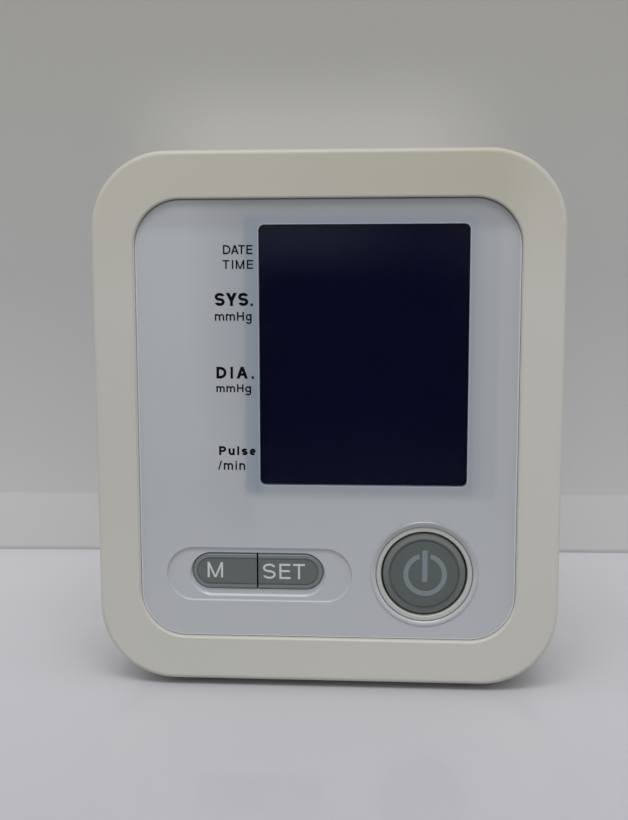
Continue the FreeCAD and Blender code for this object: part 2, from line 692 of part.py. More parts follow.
def back_wall_body(inset, front):
    """The rear half of the casing as a solid, inside the back wall's leaning surface."""
    body = case_outline(inset, front, FAR).common(back_space(inset))
    to_back = back_frame().inverse()
    lean_edges = []
    for edge in body.Edges:
        local = [to_back.multVec(vertex.Point) for vertex in edge.Vertexes]
        if all(abs(point.y + inset) < NEAR for point in local):
            lean_edges.append(edge)
    return body.makeFillet(BACK_EDGE_RADIUS - inset, lean_edges)


def case_lip():
    """The tongue of the rear shell that locates inside the front shell."""
    inner = CASE_WALL + LIP_CLEARANCE + LIP_THICKNESS
    tongue = case_outline(CASE_WALL + LIP_CLEARANCE, SPLIT_DEPTH - LIP_HEIGHT, SPLIT_DEPTH)
    root = case_outline(CASE_WALL - LIP_ROOT_OVERLAP, SPLIT_DEPTH, SPLIT_DEPTH + LIP_HEIGHT)
    return fused([tongue, root]).cut(case_outline(inner, 0, UPPER_DEPTH))


def battery_tub():
    """The outer shape of the battery bay's walls and floor."""
    half = BAY_LENGTH / 2
    return back_block(-half - BAY_WALL, half + BAY_WALL, -BAY_DEPTH - BAY_WALL, -CASE_WALL / 2,
                      BAY_FOOT - BAY_WALL, BAY_TOP + BAY_WALL)


def battery_space():
    """What the cells, the cover and the cover's hooks need free."""
    half = BAY_LENGTH / 2
    width = BAY_LENGTH + 2 * COVER_LEDGE
    height = BAY_HEIGHT + 2 * COVER_LEDGE
    hollow = back_block(-half, half, -BAY_DEPTH, CUT_MARGIN, BAY_FOOT, BAY_TOP)
    seat = rounded_back_plate(width, height, COVER_CORNER_RADIUS + COVER_CLEARANCE, BAY_FOOT + BAY_HEIGHT / 2,
                              -COVER_THICKNESS, CUT_MARGIN)
    spaces = [hollow, seat]
    for x in (-COVER_TAB_X, COVER_TAB_X):
        reach = COVER_TAB_WIDTH / 2 + COVER_TAB_CLEARANCE
        spaces.append(back_block(x - reach, x + reach, -COVER_TAB_ROOM, -CASE_WALL,
                                 COVER_FOOT - COVER_TAB_REACH - COVER_TAB_CLEARANCE, BAY_FOOT + CUT_MARGIN))
        spaces.append(back_block(x - reach, x + reach, -COVER_TAB_ROOM, -COVER_THICKNESS,
                                 COVER_FOOT - COVER_CLEARANCE, BAY_FOOT + CUT_MARGIN))
    return spaces


def strap_ears():
    """The heights of the strap's two ears."""
    return (AIR_Z - STRAP_EAR_Z, AIR_Z + STRAP_EAR_Z)


def pump_saddles():
    """Two ribs on the back wall that the motor lies in, and two posts for its strap."""
    ribs = [block(left, left + SADDLE_WIDTH, AIR_DEPTH, UPPER_DEPTH,
                  AIR_Z - SADDLE_HALF_HEIGHT, AIR_Z + SADDLE_HALF_HEIGHT) for left in SADDLE_LEFTS]
    ribs = [rib.cut(rod(SLEEVE_RADIUS, MOTOR_LEFT, MOTOR_RIGHT, AIR_DEPTH, AIR_Z)) for rib in ribs]
    pilot = BOARD_SCREW_RADIUS + SCREW_CLEARANCE
    posts = []
    for z in strap_ears():
        post = disc(STRAP_POST_RADIUS, STRAP_MID, z, AIR_DEPTH, UPPER_DEPTH)
        posts.append(post.cut(disc(pilot, STRAP_MID, z, AIR_DEPTH, AIR_DEPTH + STRAP_SCREW_LENGTH)))
    return ribs + posts


def valve_rest():
    middle = (VALVE_FRAME_LEFT + VALVE_FRAME_RIGHT) / 2
    return block(middle - VALVE_REST_WIDTH / 2, middle + VALVE_REST_WIDTH / 2,
                 AIR_DEPTH + VALVE_FRAME_DEPTH / 2, UPPER_DEPTH,
                 AIR_Z - VALVE_REST_HEIGHT / 2, AIR_Z + VALVE_REST_HEIGHT / 2)


def rear_shell():
    body = back_wall_body(0, SPLIT_DEPTH).cut(back_wall_body(CASE_WALL, SPLIT_DEPTH - CUT_MARGIN))
    columns = [disc(REAR_COLUMN_RADIUS, x, z, BOSS_MEET_DEPTH, UPPER_DEPTH) for x, z in CASE_SCREWS]
    fittings = columns + pump_saddles() + [valve_rest()]
    inside = [fitting.common(back_wall_body(CASE_WALL / 2, 0)) for fitting in fittings]
    body = fused([body, case_lip(), battery_tub(), skid(REAR_SKID_DEPTH)] + inside)
    shank = CASE_SCREW_RADIUS + SCREW_HOLE_CLEARANCE
    head = CASE_SCREW_HEAD_RADIUS + COUNTERBORE_CLEARANCE
    wall_left, wall_right = -CASE_WIDTH / 2, CASE_WIDTH / 2
    cuts = battery_space()
    cuts += [disc(shank, x, z, 0, UPPER_DEPTH) for x, z in CASE_SCREWS]
    cuts += [disc(head, x, z, SCREW_SEAT_DEPTH, FAR) for x, z in CASE_SCREWS]
    cuts += [back_disc(FOOT_RADIUS, x, rise, -FOOT_SOCKET_DEPTH, CUT_MARGIN) for x, rise in FEET]
    cuts.append(rod(SOCKET_RADIUS + SOCKET_CLEARANCE, wall_left - CUT_MARGIN,
                    wall_left + CASE_WALL + CUT_MARGIN, AIR_DEPTH, SOCKET_Z))
    cuts.append(rod(JACK_BARREL_RADIUS + JACK_CLEARANCE, wall_right - CASE_WALL - CUT_MARGIN,
                    wall_right + CUT_MARGIN, AIR_DEPTH, JACK_Z))
    return without(body, cuts)


def rear_feet():
    feet = []
    for x, rise in FEET:
        foot = Part.makeCylinder(FOOT_RADIUS, FOOT_PROUD + FOOT_SOCKET_DEPTH,
                                 Vector(x, -FOOT_SOCKET_DEPTH, rise), Vector(0, 1, 0))
        rim = [e for e in foot.Edges if abs(e.BoundBox.YMin - FOOT_PROUD) < NEAR]
        feet.append(on_back(foot.makeChamfer(FOOT_CHAMFER, rim)))
    return feet


def case_screws():
    return [pan_screw(CASE_SCREW_RADIUS, CASE_SCREW_LENGTH, CASE_SCREW_HEAD_RADIUS, CASE_SCREW_HEAD_HEIGHT,
                      x, z, SCREW_SEAT_DEPTH) for x, z in CASE_SCREWS]


# ---------------------------------------------------------------- faceplate
def key_dish(front):
    """The shallow hollow that the two small buttons stand in, wider below them than above, with sloping sides."""
    floor = front + DISH_DEPTH
    dish = stadium(PAIR_LENGTH + 2 * DISH_MARGIN, PAIR_HEIGHT + DISH_RIM_ABOVE + DISH_RIM_BELOW, PAIR_X,
                   BUTTON_Z + (DISH_RIM_ABOVE - DISH_RIM_BELOW) / 2, front - CUT_MARGIN, floor)
    return dish.makeChamfer(DISH_SLOPE, edges_at_depth(dish, floor))


def ring_bead():
    """The low rounded bead of the faceplate around the ring of the power button."""
    inner = POWER_X + RING_OUTER + RING_CLEARANCE
    outer = inner + BEAD_WIDTH
    root = PLATE_FRONT + BEAD_ROOT
    crest = arc(at(inner, PLATE_FRONT, BUTTON_Z), at((inner + outer) / 2, PLATE_FRONT - BEAD_RISE, BUTTON_Z),
                at(outer, PLATE_FRONT, BUTTON_Z))
    foot = Part.makePolygon([at(outer, PLATE_FRONT, BUTTON_Z), at(outer, root, BUTTON_Z),
                             at(inner, root, BUTTON_Z), at(inner, PLATE_FRONT, BUTTON_Z)])
    face = Part.Face(Part.Wire([crest] + foot.Edges))
    return face.revolve(at(POWER_X, 0, BUTTON_Z), Vector(0, 1, 0), 360)


def faceplate():
    plate = panel_plate(-FACEPLATE_CLEARANCE, PLATE_FRONT, PLATE_BACK)
    plate = plate.makeFillet(FACEPLATE_ROUNDING, edges_at_depth(plate, PLATE_FRONT))
    floor = PLATE_FRONT + WELL_DEPTH
    well = stadium(WELL_LENGTH, WELL_HEIGHT, WELL_X, BUTTON_Z - WELL_DROP, PLATE_FRONT - CUT_MARGIN, floor)
    well = well.makeFillet(WELL_SOFTENING, edges_at_depth(well, floor))
    cuts = [well, key_dish(floor), button_pair_plate(PAIR_GAP, 0, PLATE_BACK + CUT_MARGIN),
            disc(RING_OUTER + RING_CLEARANCE, POWER_X, BUTTON_Z, 0, PLATE_BACK + CUT_MARGIN)]
    return fused([without(plate, cuts), ring_bead()])


def faceplate_tape():
    """The adhesive frame between the faceplate and the tray."""
    tape = panel_plate(-FACEPLATE_CLEARANCE, PLATE_BACK, TRAY_FRONT)
    inner = panel_plate(-FACEPLATE_CLEARANCE - TAPE_WIDTH, PLATE_BACK - CUT_MARGIN, TRAY_FRONT + CUT_MARGIN)
    ring = disc(RING_OUTER + RING_CLEARANCE, POWER_X, BUTTON_Z, 0, TRAY_BACK)
    return without(tape, [inner, ring])


# ---------------------------------------------------------------- buttons
def power_button():
    rim_radius = POWER_RADIUS - POWER_BEVEL_WIDTH
    rim_depth = POWER_FACE_DEPTH - POWER_RIM_RISE
    edge_depth = rim_depth + POWER_BEVEL_DROP
    inside = edge_depth + BUTTON_WALL / 2
    groove_in = rim_radius - 2 * FACE_GROOVE_WIDTH
    groove_out = rim_radius - FACE_GROOVE_WIDTH
    groove_depth = POWER_FACE_DEPTH + FACE_GROOVE_DEPTH
    flange_radius = POWER_RADIUS + POWER_GAP + BUTTON_FLANGE_WIDTH
    profile = [
        (0, POWER_FACE_DEPTH), (groove_in, POWER_FACE_DEPTH),
        (groove_in, groove_depth), (groove_out, groove_depth),
        (groove_out, rim_depth), (rim_radius, rim_depth),
        (POWER_RADIUS - POWER_BEVEL_SHOULDER, rim_depth + POWER_BEVEL_DROP / 2), (POWER_RADIUS, edge_depth),
        (POWER_RADIUS, FLANGE_FRONT), (flange_radius, FLANGE_FRONT),
        (flange_radius, FLANGE_BACK), (POWER_RADIUS - BUTTON_WALL, FLANGE_BACK),
        (POWER_RADIUS - BUTTON_WALL, inside), (STEM_RADIUS, inside),
        (STEM_RADIUS, STEM_END), (0, STEM_END),
    ]
    return turned(profile, POWER_X, BUTTON_Z)


def button_pair():
    """The M and SET caps before they are parted: one bevelled stadium with a flange and a hollow back."""
    body = button_pair_plate(0, PAIR_FACE_DEPTH, FLANGE_FRONT)
    body = body.makeChamfer(PAIR_BEVEL_DROP, edges_at_depth(body, PAIR_FACE_DEPTH))
    flange = button_pair_plate(PAIR_GAP + BUTTON_FLANGE_WIDTH, FLANGE_FRONT, FLANGE_BACK)
    hollow = button_pair_plate(-BUTTON_WALL, PAIR_FACE_DEPTH + BUTTON_WALL, FLANGE_BACK + CUT_MARGIN)
    groove = button_pair_plate(-PAIR_BEVEL_WIDTH, 0, PAIR_FACE_DEPTH + FACE_GROOVE_DEPTH)
    groove = groove.cut(button_pair_plate(-PAIR_BEVEL_WIDTH - FACE_GROOVE_WIDTH, 0, FLANGE_BACK))
    return without(fused([body, flange]), [hollow, groove])


def half_button(side):
    """The left (-1) or right (+1) cap of the pair, with its closing wall and its stem."""
    inner = PAIR_X + PAIR_SPLIT / 2
    half_height = PAIR_HEIGHT / 2
    under = PAIR_FACE_DEPTH + BUTTON_WALL / 2
    keep = block(inner, inner + PAIR_LENGTH, 0, FLANGE_BACK + CUT_MARGIN,
                 BUTTON_Z - PAIR_HEIGHT, BUTTON_Z + PAIR_HEIGHT)
    wall = block(inner, inner + BUTTON_WALL, under, FLANGE_BACK,
                 BUTTON_Z - half_height + BUTTON_WALL / 2, BUTTON_Z + half_height - BUTTON_WALL / 2)
    stem = disc(STEM_RADIUS, PAIR_X + PAIR_STEM_SPACING / 2, BUTTON_Z, under, STEM_END)
    cap = fused([button_pair().common(keep), wall, stem])
    if side < 0:
        cap = cap.mirror(at(PAIR_X, 0, BUTTON_Z), Vector(1, 0, 0))
    return cap


def key_dome(x):
    """A silicone dome with its carbon pill, which the cap's stem rests on."""
    dome = turned([
        (0, STEM_END), (DOME_TOP_RADIUS, STEM_END), (DOME_RADIUS, BOARD_FRONT - DOME_SKIN),
        (DOME_RADIUS, BOARD_FRONT), (DOME_RADIUS - DOME_SKIN, BOARD_FRONT),
        (DOME_TOP_RADIUS - DOME_SKIN / 2, STEM_END + DOME_SKIN), (0, STEM_END + DOME_SKIN),
    ], x, BUTTON_Z)
    pill = disc(PILL_RADIUS, x, BUTTON_Z, STEM_END + DOME_SKIN, STEM_END + DOME_SKIN + PILL_THICKNESS)
    return [dome, pill]


# ---------------------------------------------------------------- display
def lcd_glass():
    """Two glass sheets, the rear one shorter than the front by the contact ledges."""
    half = LCD_THICKNESS / 2
    front = lcd_plate(0, LCD_FRONT, LCD_FRONT + half)
    reach = (LCD_HEIGHT - LCD_LEDGE) / 2
    back = block(LCD_CENTRE_X - LCD_WIDTH / 2, LCD_CENTRE_X + LCD_WIDTH / 2, LCD_FRONT + half, LCD_BACK,
                 LCD_MID_Z - reach, LCD_MID_Z + reach)
    return [front, back]


def lcd_reflector():
    return lcd_plate(-REFLECTOR_MARGIN, LCD_BACK, LCD_BACK + REFLECTOR_THICKNESS)


def strip_heights():
    """The middles of the two rubber connector strips, near the display's lower and upper edges."""
    inset = LCD_HEIGHT / 2 - CONNECTOR_STRIP_WIDTH
    return (LCD_MID_Z - inset, LCD_MID_Z + inset)


def connector_strip(z, growth):
    left = LCD_CENTRE_X - LCD_WIDTH / 2 + CONNECTOR_STRIP_MARGIN - growth
    right = LCD_CENTRE_X + LCD_WIDTH / 2 - CONNECTOR_STRIP_MARGIN + growth
    half = CONNECTOR_STRIP_WIDTH / 2 + growth
    return block(left, right, LCD_BACK, BOARD_FRONT, z - half, z + half)


def lcd_holder():
    """The frame that carries the display glass on the main board."""
    outside = lcd_plate(HOLDER_WALL, TRAY_BACK, BOARD_FRONT)
    pocket = lcd_plate(HOLDER_CLEARANCE, TRAY_BACK - CUT_MARGIN, LCD_BACK)
    middle = lcd_plate(-HOLDER_LIP, TRAY_BACK - CUT_MARGIN, BOARD_FRONT + CUT_MARGIN)
    slots = [connector_strip(z, HOLDER_CLEARANCE / 2) for z in strip_heights()]
    return without(outside, [pocket, middle] + slots)


# ---------------------------------------------------------------- main board
def board_notches():
    gap = FRONT_BOSS_RADIUS + BOARD_NOTCH_CLEARANCE
    notches = []
    for x, z in CASE_SCREWS:
        left, right = (-FAR, x + gap) if x < 0 else (x - gap, FAR)
        low, high = (-FAR, z + gap) if z < CASE_MID_Z else (z - gap, FAR)
        notches.append(block(left, right, BOARD_FRONT - CUT_MARGIN, BOARD_BACK + CUT_MARGIN, low, high))
    return notches


def main_board():
    board = block(BOARD_LEFT, BOARD_RIGHT, BOARD_FRONT, BOARD_BACK, BOARD_BOTTOM, BOARD_TOP)
    hole = BOARD_SCREW_RADIUS + SCREW_HOLE_CLEARANCE
    holes = [disc(hole, x, z, BOARD_FRONT - CUT_MARGIN, BOARD_BACK + CUT_MARGIN) for x, z in BOARD_POSTS]
    room = case_outline(CASE_WALL + BOARD_CASE_CLEARANCE, 0, SPLIT_DEPTH)
    return without(board, board_notches() + holes).common(room)


def board_screws():
    return [pan_screw(BOARD_SCREW_RADIUS, BOARD_SCREW_LENGTH, BOARD_SCREW_HEAD_RADIUS,
                      BOARD_SCREW_HEAD_HEIGHT, x, z, BOARD_BACK) for x, z in BOARD_POSTS]


def board_chips():
    return [block(x - width / 2, x + width / 2, BOARD_BACK, BOARD_BACK + tall, z - height / 2, z + height / 2)
            for x, z, width, height, tall in CHIPS]


def header(x, z):
    """A two-pin socket for one pair of leads."""
    body = block(x - HEADER_WIDTH / 2, x + HEADER_WIDTH / 2, BOARD_BACK, HEADER_TOP,
                 z - HEADER_HEIGHT / 2, z + HEADER_HEIGHT / 2)
    return body.makeChamfer(HEADER_CHAMFER, edges_at_depth(body, HEADER_TOP))


def board_headers():
    return [header(x, z) for x, z in (BATTERY_HEADER, JACK_HEADER, MOTOR_HEADER, VALVE_HEADER)]


def buzzer():
    top = BOARD_BACK + BUZZER_HEIGHT
    body = disc(BUZZER_RADIUS, BUZZER_X, BUZZER_Z, BOARD_BACK, top)
    body = body.makeFillet(BUZZER_ROUNDING, edges_at_depth(body, top))
    floor = BOARD_BACK + BUZZER_HEIGHT / 2
    return body.cut(disc(BUZZER_HOLE_RADIUS, BUZZER_X, BUZZER_Z, floor, top + CUT_MARGIN))


def pressure_sensor():
    half = SENSOR_SIZE / 2
    top = BOARD_BACK + SENSOR_HEIGHT
    body = block(MANIFOLD_X - half, MANIFOLD_X + half, BOARD_BACK, top, AIR_Z - half, AIR_Z + half)
    tip = top + SENSOR_NOZZLE_LENGTH
    nozzle = disc(BARB_RADIUS, MANIFOLD_X, AIR_Z, top, tip)
    bore = disc(BARB_BORE_RADIUS, MANIFOLD_X, AIR_Z, top - CUT_MARGIN, tip + CUT_MARGIN)
    return fused([body, nozzle]).cut(bore)


# ---------------------------------------------------------------- battery bay
def cell_rise(index):
    return BAY_FOOT + CELL_PITCH * (index + 0.5)


def cell_out():
    return -COVER_THICKNESS - CELL_CLEARANCE - CELL_RADIUS


def along_bay(shape, index):
    """Lays a shape that stands on z = 0 into the bay, with every other one the other way round."""
    side = 1 if index % 2 else -1
    start = side * (BAY_LENGTH / 2 - CONTACT_THICKNESS)
    place = Placement(Vector(start, cell_out(), cell_rise(index)), Rotation(Vector(0, 1, 0), -90 * side))
    return on_back(placed(shape, place))


def battery_cells():
    can = Part.makeCylinder(CELL_RADIUS, CELL_LENGTH, Vector(0, 0, SPRING_LENGTH))
    can = can.makeFillet(CELL_ROUNDING, [e for e in can.Edges if len(e.Vertexes) == 1])
    nub = Part.makeCylinder(NUB_RADIUS, NUB_LENGTH, Vector(0, 0, SPRING_LENGTH + CELL_LENGTH))
    cell = fused([can, nub])
    return [along_bay(cell, index) for index in range(CELL_COUNT)]


def battery_springs():
    spring = coil(SPRING_WIRE_RADIUS, SPRING_BIG_RADIUS, SPRING_SMALL_RADIUS,
                  SPRING_LENGTH - 2 * SPRING_END_GAP, SPRING_TURNS)
    spring.translate(Vector(0, 0, SPRING_END_GAP))
    return [along_bay(spring, index) for index in range(CELL_COUNT)]


def contact_plate(left, first, last):
    """A nickel plate behind the ends of the cells from first to last."""
    reach = CONTACT_WIDTH / 2
    return back_block(left, left + CONTACT_THICKNESS, cell_out() - reach, cell_out() + reach,
                      cell_rise(first) - reach, cell_rise(last) + reach)


def battery_contacts():
    """Two bridges at the left ends, one bridge and two single plates at the right ends."""
    left = -BAY_LENGTH / 2
    right = BAY_LENGTH / 2 - CONTACT_THICKNESS
    left_plates = [contact_plate(left, first, first + 1) for first in range(0, CELL_COUNT, 2)]
    right_plates = [contact_plate(right, first, first + 1) for first in range(1, CELL_COUNT - 1, 2)]
    ends = [contact_plate(right, index, index) for index in (0, CELL_COUNT - 1)]
    return left_plates + right_plates + ends


def cover_grip():
    """The finger recess in the cover's outer face, and the ribs that stand in it."""
    top = COVER_TOP - GRIP_MARGIN
    half = GRIP_WIDTH / 2
    recess = back_block(-half, half, -GRIP_DEPTH, CUT_MARGIN, top - GRIP_HEIGHT, top)
    step = GRIP_HEIGHT / (GRIP_RIB_COUNT + 1)
    ribs = []
    for number in range(1, GRIP_RIB_COUNT + 1):
        middle = top - step * number
        ribs.append(back_block(-half + GRIP_RIB_MARGIN, half - GRIP_RIB_MARGIN,
                               -GRIP_DEPTH - GRIP_RIB_ROOT, -GRIP_DEPTH + GRIP_RIB_RISE,
                               middle - GRIP_RIB_WIDTH / 2, middle + GRIP_RIB_WIDTH / 2))
    return recess, ribs


def cover_hooks():
    """Two hooks that reach under the shell's wall below the bay, each on a short web."""
    outer = COVER_TAB_THICKNESS - COVER_TAB_INNER
    web_top = COVER_FOOT + COVER_WEB
    hooks = []
    for x in (-COVER_TAB_X, COVER_TAB_X):
        left, right = x - COVER_TAB_WIDTH / 2, x + COVER_TAB_WIDTH / 2
        hooks.append(back_block(left, right, -COVER_TAB_INNER, outer, COVER_FOOT - COVER_TAB_REACH, web_top))
        hooks.append(back_block(left, right, -COVER_TAB_INNER, -COVER_THICKNESS / 2,
                                COVER_FOOT + COVER_WEB / 2, web_top))
    return hooks


def battery_cover():
    plate = rounded_back_plate(-2 * COVER_LEFT, COVER_TOP - COVER_FOOT, COVER_CORNER_RADIUS,
                               (COVER_FOOT + COVER_TOP) / 2, -COVER_THICKNESS, 0)
    recess, ribs = cover_grip()
    return fused([plate.cut(recess)] + ribs + cover_hooks())


# ---------------------------------------------------------------- pump
def edges_left_of(shape, x):
    """The edges of a turned shape that lie at its left end."""
    return [e for e in shape.Edges if abs(e.BoundBox.XMax - x) < NEAR]


def motor_can():
    can = rod(MOTOR_RADIUS, MOTOR_LEFT, MOTOR_RIGHT, AIR_DEPTH, AIR_Z)
    can = can.makeFillet(MOTOR_ROUNDING, edges_left_of(can, MOTOR_LEFT))
    hollow = rod(MOTOR_RADIUS - MOTOR_WALL, MOTOR_LEFT + MOTOR_WALL, MOTOR_RIGHT + CUT_MARGIN,
                 AIR_DEPTH, AIR_Z)
    hole = rod(SHAFT_RADIUS + SHAFT_CLEARANCE, MOTOR_LEFT - CUT_MARGIN, MOTOR_RIGHT, AIR_DEPTH, AIR_Z)
    return without(can, [hollow, hole])


def turned_about_shaft(shape, angle):
    turned_shape = shape.copy()
    turned_shape.rotate(at(0, AIR_DEPTH, AIR_Z), Vector(1, 0, 0), angle)
    return turned_shape


def motor_magnets():
    """Two arc magnets against the can's wall."""
    arc_block = Part.makeCylinder(MAGNET_OUTER, MAGNET_RIGHT - MAGNET_LEFT, at(MAGNET_LEFT, AIR_DEPTH, AIR_Z),
                                  Vector(1, 0, 0), MAGNET_ANGLE)
    arc_block = arc_block.cut(rod(MAGNET_OUTER - MAGNET_THICKNESS, MAGNET_LEFT, MAGNET_RIGHT, AIR_DEPTH, AIR_Z))
    return [turned_about_shaft(arc_block, middle - MAGNET_ANGLE / 2) for middle in (90, 270)]


def motor_rotor():
    """Shaft, slotted armature and commutator."""
    end = MOTOR_RIGHT + MOTOR_CAP_THICKNESS - MOTOR_CAP_FLOOR - SHAFT_END_GAP
    shaft = rod(SHAFT_RADIUS, CRANK_LEFT, end, AIR_DEPTH, AIR_Z)
    armature = rod(ARMATURE_RADIUS, ARMATURE_LEFT, ARMATURE_RIGHT, AIR_DEPTH, AIR_Z)
    half = ARMATURE_SLOT_WIDTH / 2
    top = AIR_Z + ARMATURE_RADIUS
    slot = block(ARMATURE_LEFT - CUT_MARGIN, ARMATURE_RIGHT + CUT_MARGIN, AIR_DEPTH - half, AIR_DEPTH + half,
                 top - ARMATURE_SLOT_DEPTH, top + CUT_MARGIN)
    slots = [turned_about_shaft(slot, angle) for angle in (0, 120, 240)]
    commutator = rod(COMMUTATOR_RADIUS, ARMATURE_RIGHT, ARMATURE_RIGHT + COMMUTATOR_LENGTH, AIR_DEPTH, AIR_Z)
    return fused([shaft, without(armature, slots), commutator])


def pump_crank():
    """The eccentric on the shaft that rocks the wobble plate."""
    crank = rod(CRANK_RADIUS, CRANK_LEFT, CRANK_RIGHT, AIR_DEPTH, AIR_Z + CRANK_OFFSET)
    return crank.cut(rod(SHAFT_RADIUS, CRANK_LEFT - CUT_MARGIN, CRANK_RIGHT + CUT_MARGIN, AIR_DEPTH, AIR_Z))


def motor_end_cap():
    right = MOTOR_RIGHT + MOTOR_CAP_THICKNESS
    cap = rod(MOTOR_RADIUS - MOTOR_CAP_INSET, MOTOR_RIGHT, right, AIR_DEPTH, AIR_Z)
    bearing = rod(SHAFT_RADIUS + SHAFT_CLEARANCE, MOTOR_RIGHT - CUT_MARGIN, right - MOTOR_CAP_FLOOR,
                  AIR_DEPTH, AIR_Z)
    return cap.cut(bearing)


def motor_terminals():
    """Two tin-plated tabs that stand forwards from the end cap."""
    middle = MOTOR_HEADER[0]
    tabs = []
    for side in (-1, 1):
        z = AIR_Z + side * TERMINAL_OFFSET
        tab = block(middle - TERMINAL_THICKNESS / 2, middle + TERMINAL_THICKNESS / 2,
                    AIR_DEPTH - TERMINAL_ROOT - TERMINAL_LENGTH, AIR_DEPTH - TERMINAL_ROOT,
                    z - TERMINAL_WIDTH / 2, z + TERMINAL_WIDTH / 2)
        tabs.append(tab.cut(motor_end_cap()))
    return tabs


def pump_housing():
    body = rod(PUMP_RADIUS, PUMP_HOUSING_LEFT, MOTOR_LEFT, AIR_DEPTH, AIR_Z)
    hollow = rod(PUMP_RADIUS - PUMP_HOUSING_WALL, PUMP_HOUSING_LEFT - CUT_MARGIN,
                 MOTOR_LEFT - PUMP_HOUSING_WALL, AIR_DEPTH, AIR_Z)
    hole = rod(SHAFT_HOLE_RADIUS, PUMP_HOUSING_LEFT, MOTOR_LEFT + CUT_MARGIN, AIR_DEPTH, AIR_Z)
    return without(body, [hollow, hole])


def cup_centres():
    """How far each of the three cups stands across and up from the shaft."""
    turns = [radians(angle) for angle in (0, 120, 240)]
    return [(CUP_CIRCLE_RADIUS * sin(turn), CUP_CIRCLE_RADIUS * cos(turn)) for turn in turns]


def wobble_plate():
    """Three arms that pull on the diaphragm cups, with a hub next to the crank."""
    left = PUMP_HOUSING_LEFT + CUP_HEIGHT
    hub = rod(WOBBLE_HUB_RADIUS, left, CRANK_LEFT - WOBBLE_GAP, AIR_DEPTH, AIR_Z)
    half = WOBBLE_ARM_WIDTH / 2
    arm = block(left, left + WOBBLE_THICKNESS, AIR_DEPTH - half, AIR_DEPTH + half,
                AIR_Z, AIR_Z + WOBBLE_ARM_REACH)
    return fused([hub] + [turned_about_shaft(arm, angle) for angle in (0, 120, 240)])


def pump_diaphragm():
    right = PUMP_HOUSING_LEFT
    sheet = rod(PUMP_RADIUS, right - DIAPHRAGM_THICKNESS, right, AIR_DEPTH, AIR_Z)
    cups = [rod(CUP_RADIUS, right, right + CUP_HEIGHT, AIR_DEPTH + across, AIR_Z + up)
            for across, up in cup_centres()]
    return fused([sheet] + cups)


def pump_valve_plate():
    right = PUMP_HOUSING_LEFT - DIAPHRAGM_THICKNESS
    plate = rod(PUMP_RADIUS, PUMP_HEAD_RIGHT, right, AIR_DEPTH, AIR_Z)
    ports = [rod(BARB_BORE_RADIUS, PUMP_HEAD_RIGHT - CUT_MARGIN, right + CUT_MARGIN,
                 AIR_DEPTH + across, AIR_Z + up) for across, up in cup_centres()]
    return without(plate, ports)


def pump_head():
    head = rod(PUMP_RADIUS, PUMP_HEAD_LEFT, PUMP_HEAD_RIGHT, AIR_DEPTH, AIR_Z)
    head = head.makeFillet(PUMP_HEAD_ROUNDING, edges_left_of(head, PUMP_HEAD_LEFT))
    gallery = rod(CUP_CIRCLE_RADIUS + BARB_RADIUS, PUMP_HEAD_RIGHT - PUMP_HEAD_THICKNESS / 2,
                  PUMP_HEAD_RIGHT + CUT_MARGIN, AIR_DEPTH, AIR_Z)
    tip = PUMP_HEAD_LEFT - NOZZLE_LENGTH
    nozzle = rod(BARB_RADIUS, tip, PUMP_HEAD_LEFT, AIR_DEPTH, AIR_Z)
    bore = rod(BARB_BORE_RADIUS, tip - CUT_MARGIN, PUMP_HEAD_RIGHT, AIR_DEPTH, AIR_Z)
    return without(fused([head, nozzle]), [gallery, bore])


def pump_sleeve():
    """Foam around the motor that keeps its hum out of the casing."""
    sleeve = rod(SLEEVE_RADIUS, SLEEVE_LEFT, SLEEVE_RIGHT, AIR_DEPTH, AIR_Z)
    return sleeve.cut(rod(MOTOR_RADIUS, MOTOR_LEFT, MOTOR_RIGHT, AIR_DEPTH, AIR_Z))


def pump_strap():
    """A bent strip over the front of the sleeve, screwed to two posts."""
    outer = SLEEVE_RADIUS + STRAP_THICKNESS
    reach = outer + STRAP_EAR_REACH
    band = rod(outer, STRAP_LEFT, STRAP_RIGHT, AIR_DEPTH, AIR_Z)
    front_half = block(STRAP_LEFT, STRAP_RIGHT, 0, AIR_DEPTH, AIR_Z - reach, AIR_Z + reach)
    ears = block(STRAP_LEFT, STRAP_RIGHT, AIR_DEPTH - STRAP_EAR_THICKNESS, AIR_DEPTH,
                 AIR_Z - reach, AIR_Z + reach)
    strap = fused([band.common(front_half), ears])
    hole = BOARD_SCREW_RADIUS + SCREW_HOLE_CLEARANCE
    cuts = [disc(hole, STRAP_MID, z, 0, UPPER_DEPTH) for z in strap_ears()]
    cuts.append(rod(SLEEVE_RADIUS, STRAP_LEFT - CUT_MARGIN, STRAP_RIGHT + CUT_MARGIN, AIR_DEPTH, AIR_Z))
    return without(strap, cuts)


def strap_screws():
    """The strap's screws point backwards, into the posts of the rear shell."""
    seat = AIR_DEPTH - STRAP_EAR_THICKNESS
    screws = []
    for z in strap_ears():
        screw = pan_screw(BOARD_SCREW_RADIUS, STRAP_SCREW_LENGTH, BOARD_SCREW_HEAD_RADIUS,
                          BOARD_SCREW_HEAD_HEIGHT, STRAP_MID, z, seat)
        screws.append(screw.mirror(at(STRAP_MID, seat, z), Vector(0, 1, 0)))
    return screws


